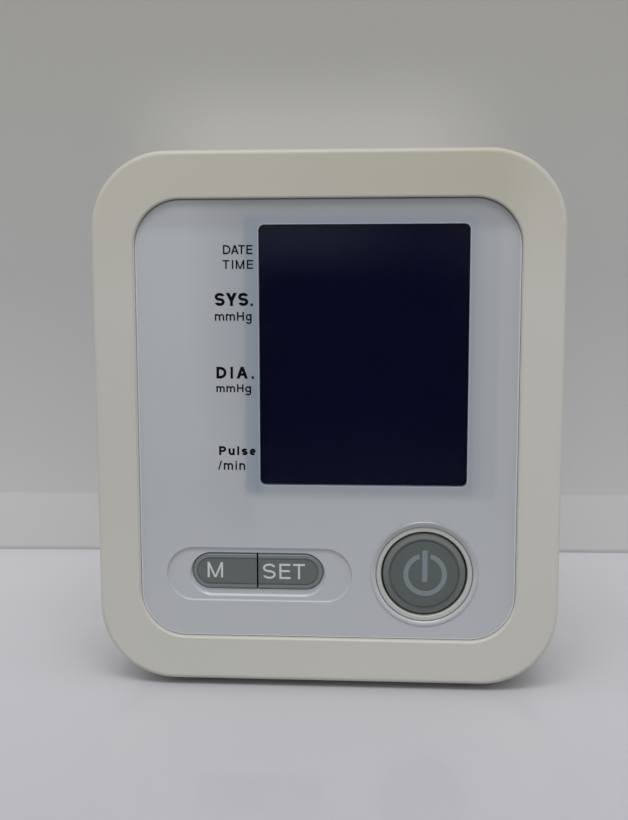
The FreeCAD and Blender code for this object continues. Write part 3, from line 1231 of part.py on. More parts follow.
# ---------------------------------------------------------------- air circuit
def air_manifold():
    """A moulded block with four barbs: pump, exhaust valve, pressure sensor and cuff socket."""
    half = MANIFOLD_SIZE / 2
    reach = half + BARB_LENGTH
    body = block(MANIFOLD_X - half, MANIFOLD_X + half, AIR_DEPTH - half, AIR_DEPTH + half,
                 AIR_Z - half, AIR_Z + half)
    body = body.makeChamfer(MANIFOLD_CHAMFER, body.Edges)
    barbs = [rod(BARB_RADIUS, MANIFOLD_X - reach, MANIFOLD_X - half, AIR_DEPTH, AIR_Z),
             rod(BARB_RADIUS, MANIFOLD_X + half, MANIFOLD_X + reach, AIR_DEPTH, AIR_Z),
             disc(BARB_RADIUS, MANIFOLD_X, AIR_Z, AIR_DEPTH - reach, AIR_DEPTH - half),
             pillar(BARB_RADIUS, AIR_Z - reach, AIR_Z - half, MANIFOLD_X, AIR_DEPTH)]
    past = reach + CUT_MARGIN
    bores = [rod(BARB_BORE_RADIUS, MANIFOLD_X - past, MANIFOLD_X + past, AIR_DEPTH, AIR_Z),
             disc(MANIFOLD_BRANCH_RADIUS, MANIFOLD_X, AIR_Z, AIR_DEPTH - past, AIR_DEPTH),
             pillar(MANIFOLD_BRANCH_RADIUS, AIR_Z - past, AIR_Z, MANIFOLD_X, AIR_DEPTH)]
    return without(fused([body] + barbs), bores)


def pump_hose():
    return hose([at(PUMP_HEAD_LEFT - HOSE_END_GAP, AIR_DEPTH, AIR_Z),
                 at(MANIFOLD_X + MANIFOLD_SIZE / 2 + HOSE_END_GAP, AIR_DEPTH, AIR_Z)])


def valve_hose():
    return hose([at(MANIFOLD_X - MANIFOLD_SIZE / 2 - HOSE_END_GAP, AIR_DEPTH, AIR_Z),
                 at(VALVE_SEAT_RIGHT + HOSE_END_GAP, AIR_DEPTH, AIR_Z)])


def sensor_hose():
    return hose([at(MANIFOLD_X, BOARD_BACK + SENSOR_HEIGHT + HOSE_END_GAP, AIR_Z),
                 at(MANIFOLD_X, AIR_DEPTH - MANIFOLD_SIZE / 2 - HOSE_END_GAP, AIR_Z)])


def socket_hose():
    return hose([at(SOCKET_END + HOSE_END_GAP, AIR_DEPTH, SOCKET_Z),
                 at(MANIFOLD_X, AIR_DEPTH, SOCKET_Z),
                 at(MANIFOLD_X, AIR_DEPTH, AIR_Z - MANIFOLD_SIZE / 2 - HOSE_END_GAP)])


def air_socket():
    """The socket in the left wall that takes the plug of the cuff's hose."""
    body = rod(SOCKET_RADIUS, SOCKET_MOUTH, SOCKET_END, AIR_DEPTH, SOCKET_Z)
    inner_wall = -CASE_WIDTH / 2 + CASE_WALL
    flange = rod(SOCKET_FLANGE_RADIUS, inner_wall, inner_wall + SOCKET_FLANGE_THICKNESS, AIR_DEPTH, SOCKET_Z)
    barb_tip = SOCKET_END + BARB_LENGTH
    barb = rod(BARB_RADIUS, SOCKET_END, barb_tip, AIR_DEPTH, SOCKET_Z)
    bore_end = SOCKET_MOUTH + SOCKET_BORE_LENGTH
    bore = rod(SOCKET_BORE_RADIUS, SOCKET_MOUTH - CUT_MARGIN, bore_end, AIR_DEPTH, SOCKET_Z)
    mouth = Part.makeCone(SOCKET_BORE_RADIUS + SOCKET_MOUTH_CHAMFER, SOCKET_BORE_RADIUS, SOCKET_MOUTH_CHAMFER,
                          at(SOCKET_MOUTH, AIR_DEPTH, SOCKET_Z), Vector(1, 0, 0))
    seal_room = rod(SEAL_INNER_RADIUS + 2 * SEAL_WIRE_RADIUS + SEAL_CLEARANCE, bore_end,
                    bore_end + 2 * (SEAL_WIRE_RADIUS + SEAL_CLEARANCE), AIR_DEPTH, SOCKET_Z)
    duct = rod(BARB_BORE_RADIUS, SOCKET_MOUTH, barb_tip + CUT_MARGIN, AIR_DEPTH, SOCKET_Z)
    return without(fused([body, flange, barb]), [bore, mouth, seal_room, duct])


def air_socket_seal():
    middle = SOCKET_MOUTH + SOCKET_BORE_LENGTH + SEAL_WIRE_RADIUS + SEAL_CLEARANCE
    return Part.makeTorus(SEAL_INNER_RADIUS + SEAL_WIRE_RADIUS, SEAL_WIRE_RADIUS,
                          at(middle, AIR_DEPTH, SOCKET_Z), Vector(1, 0, 0))


# ---------------------------------------------------------------- exhaust valve
def valve_seat():
    """The plastic end of the exhaust valve, with its nozzle and the seat that the plunger closes."""
    plate = rod(VALVE_SEAT_RADIUS, VALVE_FRAME_RIGHT, VALVE_SEAT_RIGHT, AIR_DEPTH, AIR_Z)
    nozzle = rod(BARB_RADIUS, VALVE_SEAT_RIGHT, VALVE_NOZZLE_RIGHT, AIR_DEPTH, AIR_Z)
    chamber = rod(PLUNGER_RADIUS + PLUNGER_CLEARANCE, VALVE_FRAME_RIGHT - CUT_MARGIN,
                  VALVE_FRAME_RIGHT + VALVE_SEAT_THICKNESS / 2, AIR_DEPTH, AIR_Z)
    bore = rod(BARB_BORE_RADIUS, VALVE_FRAME_RIGHT, VALVE_NOZZLE_RIGHT + CUT_MARGIN, AIR_DEPTH, AIR_Z)
    return without(fused([plate, nozzle]), [chamber, bore])


def plunger_hole():
    return rod(PLUNGER_RADIUS + PLUNGER_CLEARANCE, VALVE_FRAME_LEFT - CUT_MARGIN,
               VALVE_FRAME_RIGHT + CUT_MARGIN, AIR_DEPTH, AIR_Z)


def valve_frame():
    """A steel strip bent round the coil, open above, below and in front."""
    half_depth, half_height = VALVE_FRAME_DEPTH / 2, VALVE_FRAME_HEIGHT / 2
    outside = block(VALVE_FRAME_LEFT, VALVE_FRAME_RIGHT, AIR_DEPTH - half_depth, AIR_DEPTH + half_depth,
                    AIR_Z - half_height, AIR_Z + half_height)
    inside = block(VALVE_FRAME_LEFT + VALVE_FRAME_PLATE, VALVE_FRAME_RIGHT - VALVE_FRAME_PLATE, 0,
                   AIR_DEPTH + half_depth - VALVE_FRAME_PLATE, 0, CASE_HEIGHT)
    return without(outside, [inside, plunger_hole()])


def valve_coil():
    """A bobbin with two cheeks and its copper winding, bored for the plunger."""
    left, right = VALVE_FRAME_LEFT + VALVE_FRAME_PLATE, VALVE_FRAME_RIGHT - VALVE_FRAME_PLATE
    reach = VALVE_FRAME_DEPTH / 2 - VALVE_FRAME_PLATE
    winding = rod(VALVE_WINDING_RADIUS, left, right, AIR_DEPTH, AIR_Z)
    cheeks = [rod(reach, left, left + VALVE_CHEEK_THICKNESS, AIR_DEPTH, AIR_Z),
              rod(reach, right - VALVE_CHEEK_THICKNESS, right, AIR_DEPTH, AIR_Z)]
    return fused([winding] + cheeks).cut(plunger_hole())


def valve_plunger():
    """The iron plunger, open at rest, with the flange that its return spring pushes."""
    tip = VALVE_FRAME_RIGHT + VALVE_SEAT_THICKNESS / 2 - PLUNGER_TRAVEL - PLUNGER_TIP_CLEARANCE
    head = VALVE_FRAME_LEFT - PLUNGER_PROUD
    core = rod(PLUNGER_RADIUS, head, tip, AIR_DEPTH, AIR_Z)
    flange = rod(PLUNGER_HEAD_RADIUS, head - PLUNGER_HEAD_THICKNESS, head, AIR_DEPTH, AIR_Z)
    return fused([core, flange])


def valve_spring():
    spring = coil(PLUNGER_SPRING_WIRE, PLUNGER_SPRING_RADIUS, PLUNGER_SPRING_RADIUS,
                  PLUNGER_PROUD - 2 * SPRING_END_GAP, PLUNGER_SPRING_TURNS)
    start = at(VALVE_FRAME_LEFT - SPRING_END_GAP, AIR_DEPTH, AIR_Z)
    return placed(spring, Placement(start, Rotation(Vector(0, 1, 0), -90)))


# ---------------------------------------------------------------- adaptor jack
def dc_jack():
    """The socket in the right wall that takes the plug of a mains adaptor."""
    half_depth, half_height = JACK_BODY_DEPTH / 2, JACK_BODY_HEIGHT / 2
    body = block(JACK_BODY_LEFT, JACK_BODY_RIGHT, AIR_DEPTH - half_depth, AIR_DEPTH + half_depth,
                 JACK_Z - half_height, JACK_Z + half_height)
    barrel = rod(JACK_BARREL_RADIUS, JACK_BODY_RIGHT, JACK_MOUTH, AIR_DEPTH, JACK_Z)
    bore = rod(JACK_BORE_RADIUS, JACK_MOUTH - JACK_BORE_LENGTH, JACK_MOUTH + CUT_MARGIN, AIR_DEPTH, JACK_Z)
    pin_seat = rod(JACK_PIN_RADIUS, JACK_BODY_LEFT + JACK_BACK_WALL, JACK_MOUTH, AIR_DEPTH, JACK_Z)
    return without(fused([body, barrel]), [bore, pin_seat])


def dc_jack_pin():
    right = JACK_MOUTH - JACK_BORE_LENGTH + JACK_PIN_LENGTH
    pin = rod(JACK_PIN_RADIUS, JACK_BODY_LEFT + JACK_BACK_WALL, right, AIR_DEPTH, JACK_Z)
    return pin.makeFillet(JACK_PIN_ROUNDING, [e for e in pin.Edges if abs(e.BoundBox.XMin - right) < NEAR])


# ---------------------------------------------------------------- leads
def side_leads(start_x, depth, place):
    """A pair, one above the other, that starts beside a header, runs across to it and forwards into it."""
    x, middle = place
    leads = []
    for z in (middle - LEAD_PITCH / 2, middle + LEAD_PITCH / 2):
        leads.append(swept([at(start_x, depth, z), at(x, depth, z), at(x, HEADER_TOP, z)],
                           LEAD_RADIUS, LEAD_BEND_RADIUS))
    return leads


def battery_leads():
    return side_leads(BAY_LENGTH / 2 + BAY_WALL, AIR_DEPTH, BATTERY_HEADER)


def jack_leads():
    return side_leads(JACK_BODY_LEFT, AIR_DEPTH, JACK_HEADER)


def motor_leads():
    """From a side of each tab down to the header and forwards into it."""
    middle, end_z = MOTOR_HEADER
    depth = AIR_DEPTH - TERMINAL_ROOT - TERMINAL_LENGTH + TERMINAL_LEAD_INSET
    leads = []
    for side in (-1, 1):
        x = middle + side * (TERMINAL_THICKNESS / 2 + LEAD_RADIUS)
        start_z = AIR_Z + side * TERMINAL_OFFSET
        leads.append(swept([at(x, depth, start_z), at(x, depth, end_z), at(x, HEADER_TOP, end_z)],
                           LEAD_RADIUS, LEAD_BEND_RADIUS))
    return leads


def valve_leads():
    """Straight forwards from the winding into the header."""
    middle, z = VALVE_HEADER
    return [disc(LEAD_RADIUS, x, z, HEADER_TOP, AIR_DEPTH - VALVE_WINDING_RADIUS)
            for x in (middle - LEAD_PITCH / 2, middle + LEAD_PITCH / 2)]


PIECES = {
    "front_shell": lambda: [front_shell()],
    "rear_shell": lambda: [rear_shell()],
    "rear_feet": rear_feet,
    "case_screws": case_screws,
    "faceplate": lambda: [faceplate()],
    "faceplate_tape": lambda: [faceplate_tape()],
    "power_button": lambda: [power_button()],
    "memory_button": lambda: [half_button(-1)],
    "set_button": lambda: [half_button(1)],
    "power_dome": lambda: key_dome(POWER_X),
    "memory_dome": lambda: key_dome(PAIR_X - PAIR_STEM_SPACING / 2),
    "set_dome": lambda: key_dome(PAIR_X + PAIR_STEM_SPACING / 2),
    "lcd_glass": lcd_glass,
    "lcd_reflector": lambda: [lcd_reflector()],
    "lcd_holder": lambda: [lcd_holder()],
    "lcd_connectors": lambda: [connector_strip(z, 0) for z in strip_heights()],
    "main_board": lambda: [main_board()],
    "board_screws": board_screws,
    "board_chips": board_chips,
    "board_headers": board_headers,
    "buzzer": lambda: [buzzer()],
    "pressure_sensor": lambda: [pressure_sensor()],
    "battery_cells": battery_cells,
    "battery_springs": battery_springs,
    "battery_contacts": battery_contacts,
    "battery_cover": lambda: [battery_cover()],
    "battery_leads": battery_leads,
    "motor_can": lambda: [motor_can()],
    "motor_magnets": motor_magnets,
    "motor_rotor": lambda: [motor_rotor()],
    "motor_end_cap": lambda: [motor_end_cap()],
    "motor_terminals": motor_terminals,
    "motor_leads": motor_leads,
    "pump_crank": lambda: [pump_crank()],
    "pump_housing": lambda: [pump_housing()],
    "pump_wobble_plate": lambda: [wobble_plate()],
    "pump_diaphragm": lambda: [pump_diaphragm()],
    "pump_valve_plate": lambda: [pump_valve_plate()],
    "pump_head": lambda: [pump_head()],
    "pump_sleeve": lambda: [pump_sleeve()],
    "pump_strap": lambda: [pump_strap()],
    "strap_screws": strap_screws,
    "air_manifold": lambda: [air_manifold()],
    "pump_hose": lambda: [pump_hose()],
    "valve_hose": lambda: [valve_hose()],
    "sensor_hose": lambda: [sensor_hose()],
    "socket_hose": lambda: [socket_hose()],
    "air_socket": lambda: [air_socket()],
    "air_socket_seal": lambda: [air_socket_seal()],
    "valve_seat": lambda: [valve_seat()],
    "valve_frame": lambda: [valve_frame()],
    "valve_coil": lambda: [valve_coil()],
    "valve_plunger": lambda: [valve_plunger()],
    "valve_spring": lambda: [valve_spring()],
    "valve_leads": valve_leads,
    "dc_jack": lambda: [dc_jack()],
    "dc_jack_pin": lambda: [dc_jack_pin()],
    "jack_leads": jack_leads,
}

os.makedirs("parts", exist_ok=True)
for name, build in PIECES.items():
    save(name, build())
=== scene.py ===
"""Looks of a blood pressure monitor's control unit: its materials and legends, the studio and the camera.

Lengths are in metres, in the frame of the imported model: X to the right of someone who faces the display,
Y from the display to the back, Z up from the surface that the unit stands on. Places in materials and on
the front are in millimetres. A zone of the front is a rounded rectangle, (left, right, low, high) and its
corner's radius. A pair of places for a fade is where it starts and where it ends.
"""

import math

import bmesh
import bpy
from mathutils import Matrix, Vector


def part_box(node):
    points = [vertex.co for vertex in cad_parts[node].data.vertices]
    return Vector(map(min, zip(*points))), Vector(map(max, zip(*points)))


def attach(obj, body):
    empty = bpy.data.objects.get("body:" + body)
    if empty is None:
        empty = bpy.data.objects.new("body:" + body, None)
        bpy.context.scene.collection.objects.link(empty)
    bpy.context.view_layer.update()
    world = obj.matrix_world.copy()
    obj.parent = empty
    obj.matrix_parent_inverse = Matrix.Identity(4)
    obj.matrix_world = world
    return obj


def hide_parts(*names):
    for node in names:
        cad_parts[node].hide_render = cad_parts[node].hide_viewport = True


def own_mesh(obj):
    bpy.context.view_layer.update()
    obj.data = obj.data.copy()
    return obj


MM = 0.001

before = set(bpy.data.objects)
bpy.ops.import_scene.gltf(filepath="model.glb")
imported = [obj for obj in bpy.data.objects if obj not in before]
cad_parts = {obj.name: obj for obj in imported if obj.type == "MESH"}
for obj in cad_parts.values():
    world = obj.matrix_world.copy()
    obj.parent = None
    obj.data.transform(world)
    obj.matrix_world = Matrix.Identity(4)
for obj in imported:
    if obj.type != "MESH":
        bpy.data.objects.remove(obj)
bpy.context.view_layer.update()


# ---------------------------------------------------------------- places on the front
PANEL = (tuple(corner[axis] / MM for axis in (0, 2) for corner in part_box("faceplate")), 10.85)
PANEL_FOOT, PANEL_TOP = PANEL[0][2:]
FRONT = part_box("front_shell")[0].y / MM
WINDOW = ((-15.58, 32.73, 48.9, 109.32), 1.4)
WINDOW_LEFT, _, WINDOW_FOOT, WINDOW_TOP = WINDOW[0]
MODULE = ((-19.45, 39.05, 46.3, 112.1), 1.5)
MODULE_RIM = ((-18.8, 33.9, 46.9, 110.9), 1.0)
POWER_RING = ((11.35, 34.75, 16.2, 39.6), 11.7)
POWER_FACE = ((14.6, 31.5, 19.45, 36.35), 8.45)
PAIR_FACE = ((-30.93, -1.87, 24.7, 31.1), 3.2)
PAIR_SEAM = (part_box("memory_button")[1].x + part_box("set_button")[0].x) / 2 / MM
# From these depths back the keys' skirts are painted near black: painted shade.
PAIR_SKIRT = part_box("memory_button")[0].y / MM + 0.65
POWER_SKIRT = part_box("power_button")[0].y / MM + 1.3


# ---------------------------------------------------------------- making materials
NOISE_RANGE = (0.3, 0.7)
PANEL_SHADE = (-11.0, -3.0)


def srgb(red, green, blue):
    """A colour as it shows on a screen, 0 to 255, in linear light."""
    def linear(value):
        share = value / 255
        return share / 12.92 if share <= 0.04045 else ((share + 0.055) / 1.055) ** 2.4
    return (linear(red), linear(green), linear(blue), 1.0)


def shade(colour, amount):
    return tuple(min(1.0, part * amount) for part in colour[:3]) + (1.0,)


def offset(place, fade):
    """A fade whose places are counted from another place."""
    return tuple(place + step for step in fade)


class Finish:
    """One Principled material, with the nodes that give it its detail."""

    def __init__(self, name, **constants):
        self.material = bpy.data.materials.new(name)
        self.material.use_nodes = True
        self.nodes = self.material.node_tree.nodes
        self.links = self.material.node_tree.links
        self.shader = self.nodes["Principled BSDF"]
        for socket, value in constants.items():
            self.shader.inputs[socket.replace("_", " ")].default_value = value
        scale = self.nodes.new("ShaderNodeVectorMath")
        scale.operation = "SCALE"
        scale.inputs["Scale"].default_value = 1 / MM
        self.links.new(self.nodes.new("ShaderNodeTexCoord").outputs["Object"], scale.inputs[0])
        self.place = scale.outputs["Vector"]
        parts = self.nodes.new("ShaderNodeSeparateXYZ")
        self.links.new(self.place, parts.inputs[0])
        self.x, self.y, self.z = parts.outputs

    def put(self, socket, value):
        """Links value to the socket if it comes from a node, and sets it there otherwise."""
        if isinstance(value, bpy.types.NodeSocket):
            self.links.new(value, socket)
        else:
            socket.default_value = value

    def maths(self, operation, first, second=0.0):
        node = self.nodes.new("ShaderNodeMath")
        node.operation = operation
        self.put(node.inputs[0], first)
        self.put(node.inputs[1], second)
        return node.outputs[0]

    def product(self, first, *others):
        for other in others:
            first = self.maths("MULTIPLY", first, other)
        return first

    def distance(self, value, middle):
        """How far value is from the middle, either way."""
        return self.maths("ABSOLUTE", self.maths("SUBTRACT", value, middle))

    def span(self, value, low, high, to_low=0.0, to_high=1.0, smooth=False):
        """Value as it goes from low to high, made to go from to_low to to_high and to stay there beyond."""
        node = self.nodes.new("ShaderNodeMapRange")
        node.interpolation_type = "SMOOTHSTEP" if smooth else "LINEAR"
        for socket, amount in zip(node.inputs, (value, low, high, to_low, to_high)):
            self.put(socket, amount)
        return node.outputs[0]

    def fade(self, value, low, high, strength=1.0, rest=0.0, smooth=False):
        """A span that falls, from strength before low to rest beyond high."""
        return self.span(value, low, high, strength, rest, smooth)

    def stretched(self, factors):
        node = self.nodes.new("ShaderNodeVectorMath")
        node.operation = "MULTIPLY"
        self.put(node.inputs[0], self.place)
        node.inputs[1].default_value = factors
        return node.outputs[0]

    def noise(self, size, detail, roughness=0.5, stretch=None):
        """Soft noise whose features are about size millimetres across."""
        node = self.nodes.new("ShaderNodeTexNoise")
        node.inputs["Scale"].default_value = 1 / size
        node.inputs["Detail"].default_value = detail
        node.inputs["Roughness"].default_value = roughness
        self.put(node.inputs["Vector"], self.stretched(stretch) if stretch else self.place)
        return node.outputs[0]

    def patches(self, size, detail, low=0.0, high=1.0):
        """The same noise in patches that spread out over the whole way from low to high."""
        return self.span(self.noise(size, detail), *NOISE_RANGE, low, high)

    def cells(self, size):
        node = self.nodes.new("ShaderNodeTexVoronoi")
        node.inputs["Scale"].default_value = 1 / size
        self.put(node.inputs["Vector"], self.place)
        return node.outputs["Distance"]

    def waves(self, scale):
        node = self.nodes.new("ShaderNodeTexWave")
        node.inputs["Scale"].default_value = scale
        self.put(node.inputs["Vector"], self.place)
        return node.outputs["Fac"]

    def mix(self, share, first, second):
        node = self.nodes.new("ShaderNodeMix")
        node.data_type = "RGBA"
        self.put(node.inputs["Factor"], share)
        colours = [socket for socket in node.inputs if socket.type == "RGBA"]
        self.put(colours[0], first)
        self.put(colours[1], second)
        return next(socket for socket in node.outputs if socket.type == "RGBA")

    def colour(self, value):
        self.put(self.shader.inputs["Base Color"], value)

    def rough(self, value):
        self.put(self.shader.inputs["Roughness"], value)

    def bump(self, height, depth):
        """Relief of that many millimetres for a height from 0 to 1."""
        node = self.nodes.new("ShaderNodeBump")
        node.inputs["Distance"].default_value = depth * MM
        node.inputs["Strength"].default_value = 1.0
        self.put(node.inputs["Height"], height)
        self.put(self.shader.inputs["Normal"], node.outputs["Normal"])

    def outside(self, zone):
        """How far a point of the front lies outside a zone, and below 0 how far inside it."""
        (left, right, low, high), radius = zone
        sides = []
        for value, near, far in ((self.x, left, right), (self.z, low, high)):
            away = self.distance(value, (near + far) / 2)
            sides.append(self.maths("SUBTRACT", away, (far - near) / 2 - radius))
        squares = []
        for side in sides:
            beyond = self.maths("MAXIMUM", side, 0.0)
            squares.append(self.product(beyond, beyond))
        corner = self.maths("SQRT", self.maths("ADD", *squares))
        inner = self.maths("MINIMUM", self.maths("MAXIMUM", *sides), 0.0)
        return self.maths("SUBTRACT", self.maths("ADD", corner, inner), radius)

    def below_top(self):
        """1 on the front, falling to 0 at the faceplate's upper edge, which the bezel shades."""
        return self.fade(self.z, *offset(PANEL_TOP, PANEL_SHADE))


def moulded(name, colour, roughness, grain=0.25, depth=0.004, tone=0.03, **constants):
    """Moulded plastic or rubber: a little uneven in tone and gloss, with a fine eroded grain."""
    finish = Finish(name, **constants)
    finish.colour(finish.mix(finish.patches(28.0, 3.0), shade(colour, 1 - tone), shade(colour, 1 + tone)))
    finish.rough(finish.patches(6.0, 2.0, roughness - 0.04, roughness + 0.04))
    finish.bump(finish.noise(grain, 3.0, 0.6), depth)
    return finish


MARK_SIZE, MARK_DEPTH = 0.4, 0.003
MARK_RANGE, STAIN_RANGE = (0.25, 0.75), (0.35, 0.7)


def metal(name, colour, roughness, stretch=(1, 1, 1)):
    """Bare or plated metal, a little stained, with marks that may run in one direction."""
    finish = Finish(name, Metallic=1.0)
    marks = finish.noise(MARK_SIZE, 4.0, 0.65, stretch)
    stains = finish.span(finish.noise(5.0, 3.0), *STAIN_RANGE)
    finish.colour(finish.mix(stains, shade(colour, 1.06), shade(colour, 0.86)))
    finish.rough(finish.span(marks, *MARK_RANGE, roughness - 0.08, roughness + 0.1))
    finish.bump(marks, MARK_DEPTH)
    return finish


# ---------------------------------------------------------------- outer materials
# Heights at which the shell's tones change, and places across for its top and its flanks. The paler foot and
# flanks are painted light.
SHELL_FOOT, SHELL_TOP = (4.0, 34.0), (92.0, 118.0)
TOP_DIM_START, TOP_DIM_END = (-10.0, 35.0), (40.0, 47.0)
FLANK_RIGHT, FLANK_LEFT = (38.0, 46.0), (-38.0, -46.0)
FLANK_LOW, FLANK_LEFT_LOW = (110.0, 50.0), (56.0, 34.0)
SPECKS = (0.72, 0.8)
# The depth at which the shell's front ends, and the power ring's edge on it.
SHELL_FRONT, RING_EDGE = (-20.0, -18.0), (-0.3, 0.3)
# The recess's wall, painted palest as painted light that lifts the shade in the crease round the faceplate: how
# far it lies from the faceplate's edge, and where it starts behind the front and above the faceplate's foot.
RECESS_WALL, RECESS_DEPTH, RECESS_FOOT = (0.4, 0.6), (0.2, 0.45), (1.0, 7.0)


def shell_plastic():
    """Ivory ABS with a fine satin grain. It is painted a little paler at its foot and its sides, most of all
    low down, as painted light, yellower towards the top, greyer on the ring round the power key, and palest on
    the wall of the recess for the faceplate, as painted light that lifts the shade in that crease."""
    finish = Finish("ivory_abs")
    patches = finish.patches(45.0, 2.0)
    # Painted light: the foot paler, near the table.
    foot = finish.mix(patches, srgb(181, 181, 174), srgb(185, 184, 178))
    middle = finish.mix(patches, srgb(175, 174, 167), srgb(179, 177, 171))
    top = finish.mix(patches, srgb(171, 168, 157), srgb(174, 171, 161))
    dim = finish.product(finish.span(finish.x, *TOP_DIM_START), finish.fade(finish.x, *TOP_DIM_END))
    top = finish.mix(dim, top, srgb(167, 163, 150))
    lower = finish.mix(finish.span(finish.z, *SHELL_FOOT), foot, middle)
    # Painted light: the flanks paler, most of all low down.
    left = finish.product(finish.span(finish.x, *FLANK_LEFT, 0.0, 0.5), finish.span(finish.z, *FLANK_LEFT_LOW))
    painted_light_flank = finish.maths("MAXIMUM", finish.span(finish.x, *FLANK_RIGHT), left)
    painted_light_flank = finish.product(painted_light_flank, finish.span(finish.z, *FLANK_LOW, 0.5, 1.0))
    lower = finish.mix(painted_light_flank, lower, srgb(182, 181, 174))
    body = finish.mix(finish.span(finish.z, *SHELL_TOP), lower, top)
    specks = finish.span(finish.noise(0.9, 2.0), *SPECKS, 0.0, 0.35)
    body = finish.mix(specks, body, srgb(160, 157, 148))
    front = finish.fade(finish.y, *SHELL_FRONT)
    ring = finish.product(finish.fade(finish.outside(POWER_RING), *RING_EDGE), front)
    body = finish.mix(ring, body, srgb(171, 173, 169))
    # The recess's wall is painted palest: painted light that lifts the shade in that crease, off the shaded
    # top.
    edge = finish.maths("ABSOLUTE", finish.outside(PANEL))
    wall = finish.product(finish.fade(edge, *RECESS_WALL), finish.span(finish.y, *offset(FRONT, RECESS_DEPTH)),
                          front, finish.below_top(), finish.span(finish.z, *offset(PANEL_FOOT, RECESS_FOOT)))
    finish.colour(finish.mix(wall, body, srgb(214, 213, 206)))
    finish.rough(finish.patches(9.0, 3.0, 0.4, 0.5))
    finish.bump(finish.noise(0.22, 3.0, 0.6), 0.004)
    return finish


# Heights and places across at which the print's tones change. The paler foot is painted light.
PRINT_FOOT, PRINT_LEFT_TOP = (48.0, 14.0), 84.0
PRINT_RIGHT, PRINT_RIGHT_LOW = (30.0, 44.0), (44.0, 74.0)
# Fades counted outwards from the edges of the window, the module, its rim and the faceplate.
WINDOW_EDGE, WINDOW_LINE, WINDOW_HALO, WINDOW_BESIDE = (-0.05, 0.05), (0.1, 0.22), (0.0, 4.6), (3.0, 17.0)
MODULE_EDGE, MODULE_RIM_EDGE = (-0.6, 1.2), (-0.4, 0.5)
# The faceplate's edge is painted pale between these distances: painted light in its crease.
PANEL_EDGE = (-0.5, -0.25)
# Fades counted from the window's left edge and from its top.
BESIDE_LEFT, ABOVE_LEFT, HALO_LEFT, RIM_LEFT = (-3.0, 0.0), (-17.0, 0.0), (-1.0, 2.0), (-0.5, 1.0)
ABOVE_TOP, HALO_TOP = (-3.0, 1.0), (-0.5, 0.5)
# The painted shade on the top of the bead round the power ring, where the lamp lights it: how far outside the
# ring, how wide, and from which height up.
CREST, CREST_WIDTH, CREST_LOW = 0.5, (0.25, 0.75), (27.0, 37.0)


def printed_grey(finish, away):
    """The grey behind the sheet. It is painted paler at the foot, as painted light, and darker left of the
    window and at the right side. Away is how far a point lies outside the window."""
    grey = finish.mix(finish.patches(32.0, 3.0), srgb(163, 166, 170), srgb(166, 169, 173))
    # Painted light: the grey paler towards the foot.
    grey = finish.mix(finish.span(finish.z, *PRINT_FOOT), grey, srgb(169, 172, 177))
    left = finish.product(finish.fade(away, *WINDOW_BESIDE, 0.55),
                          finish.fade(finish.x, *offset(WINDOW_LEFT, BESIDE_LEFT)),
                          finish.span(finish.z, WINDOW_FOOT, PRINT_LEFT_TOP, 0.4, 1.0))
    grey = finish.mix(left, grey, srgb(134, 141, 149))
    right = finish.product(finish.span(finish.x, *PRINT_RIGHT, 0.0, 0.6),
                           finish.span(finish.z, *PRINT_RIGHT_LOW, 0.35, 1.0))
    return finish.mix(right, grey, srgb(157, 159, 163))


def display_behind(finish, grey, away):
    """The same grey, darker where the display's module lies behind it, most of all beside the window. Above the
    window it is darker up to the faceplate's top: the module behind, and a painted shadow of the bezel's top
    lip.
    """
    behind = finish.fade(finish.outside(MODULE), *MODULE_EDGE, smooth=True)
    grey = finish.mix(finish.product(behind, 0.5), grey, srgb(149, 153, 158))
    # Darker above the window up to the faceplate's top: the module behind, and painted shadow of the bezel's
    # lip.
    above = finish.product(finish.span(finish.z, *offset(WINDOW_TOP, ABOVE_TOP), 0.0, 0.85, smooth=True),
                           finish.span(finish.x, *offset(WINDOW_LEFT, ABOVE_LEFT), 0.45, 1.0))
    grey = finish.mix(above, grey, srgb(139, 141, 145))
    leftward = finish.fade(finish.x, *offset(WINDOW_LEFT, HALO_LEFT), 1.0, 0.5, smooth=True)
    upward = finish.span(finish.z, *offset(WINDOW_TOP, HALO_TOP), 0.0, 0.7, smooth=True)
    halo = finish.product(finish.fade(away, *WINDOW_HALO, smooth=True),
                          finish.maths("MAXIMUM", leftward, upward))
    grey = finish.mix(halo, grey, srgb(134, 142, 152))
    rim = finish.product(finish.fade(finish.outside(MODULE_RIM), *MODULE_RIM_EDGE, smooth=True),
                         finish.fade(finish.x, *offset(WINDOW_LEFT, RIM_LEFT), 0.4, 0.2))
    return finish.mix(rim, grey, srgb(120, 130, 145))


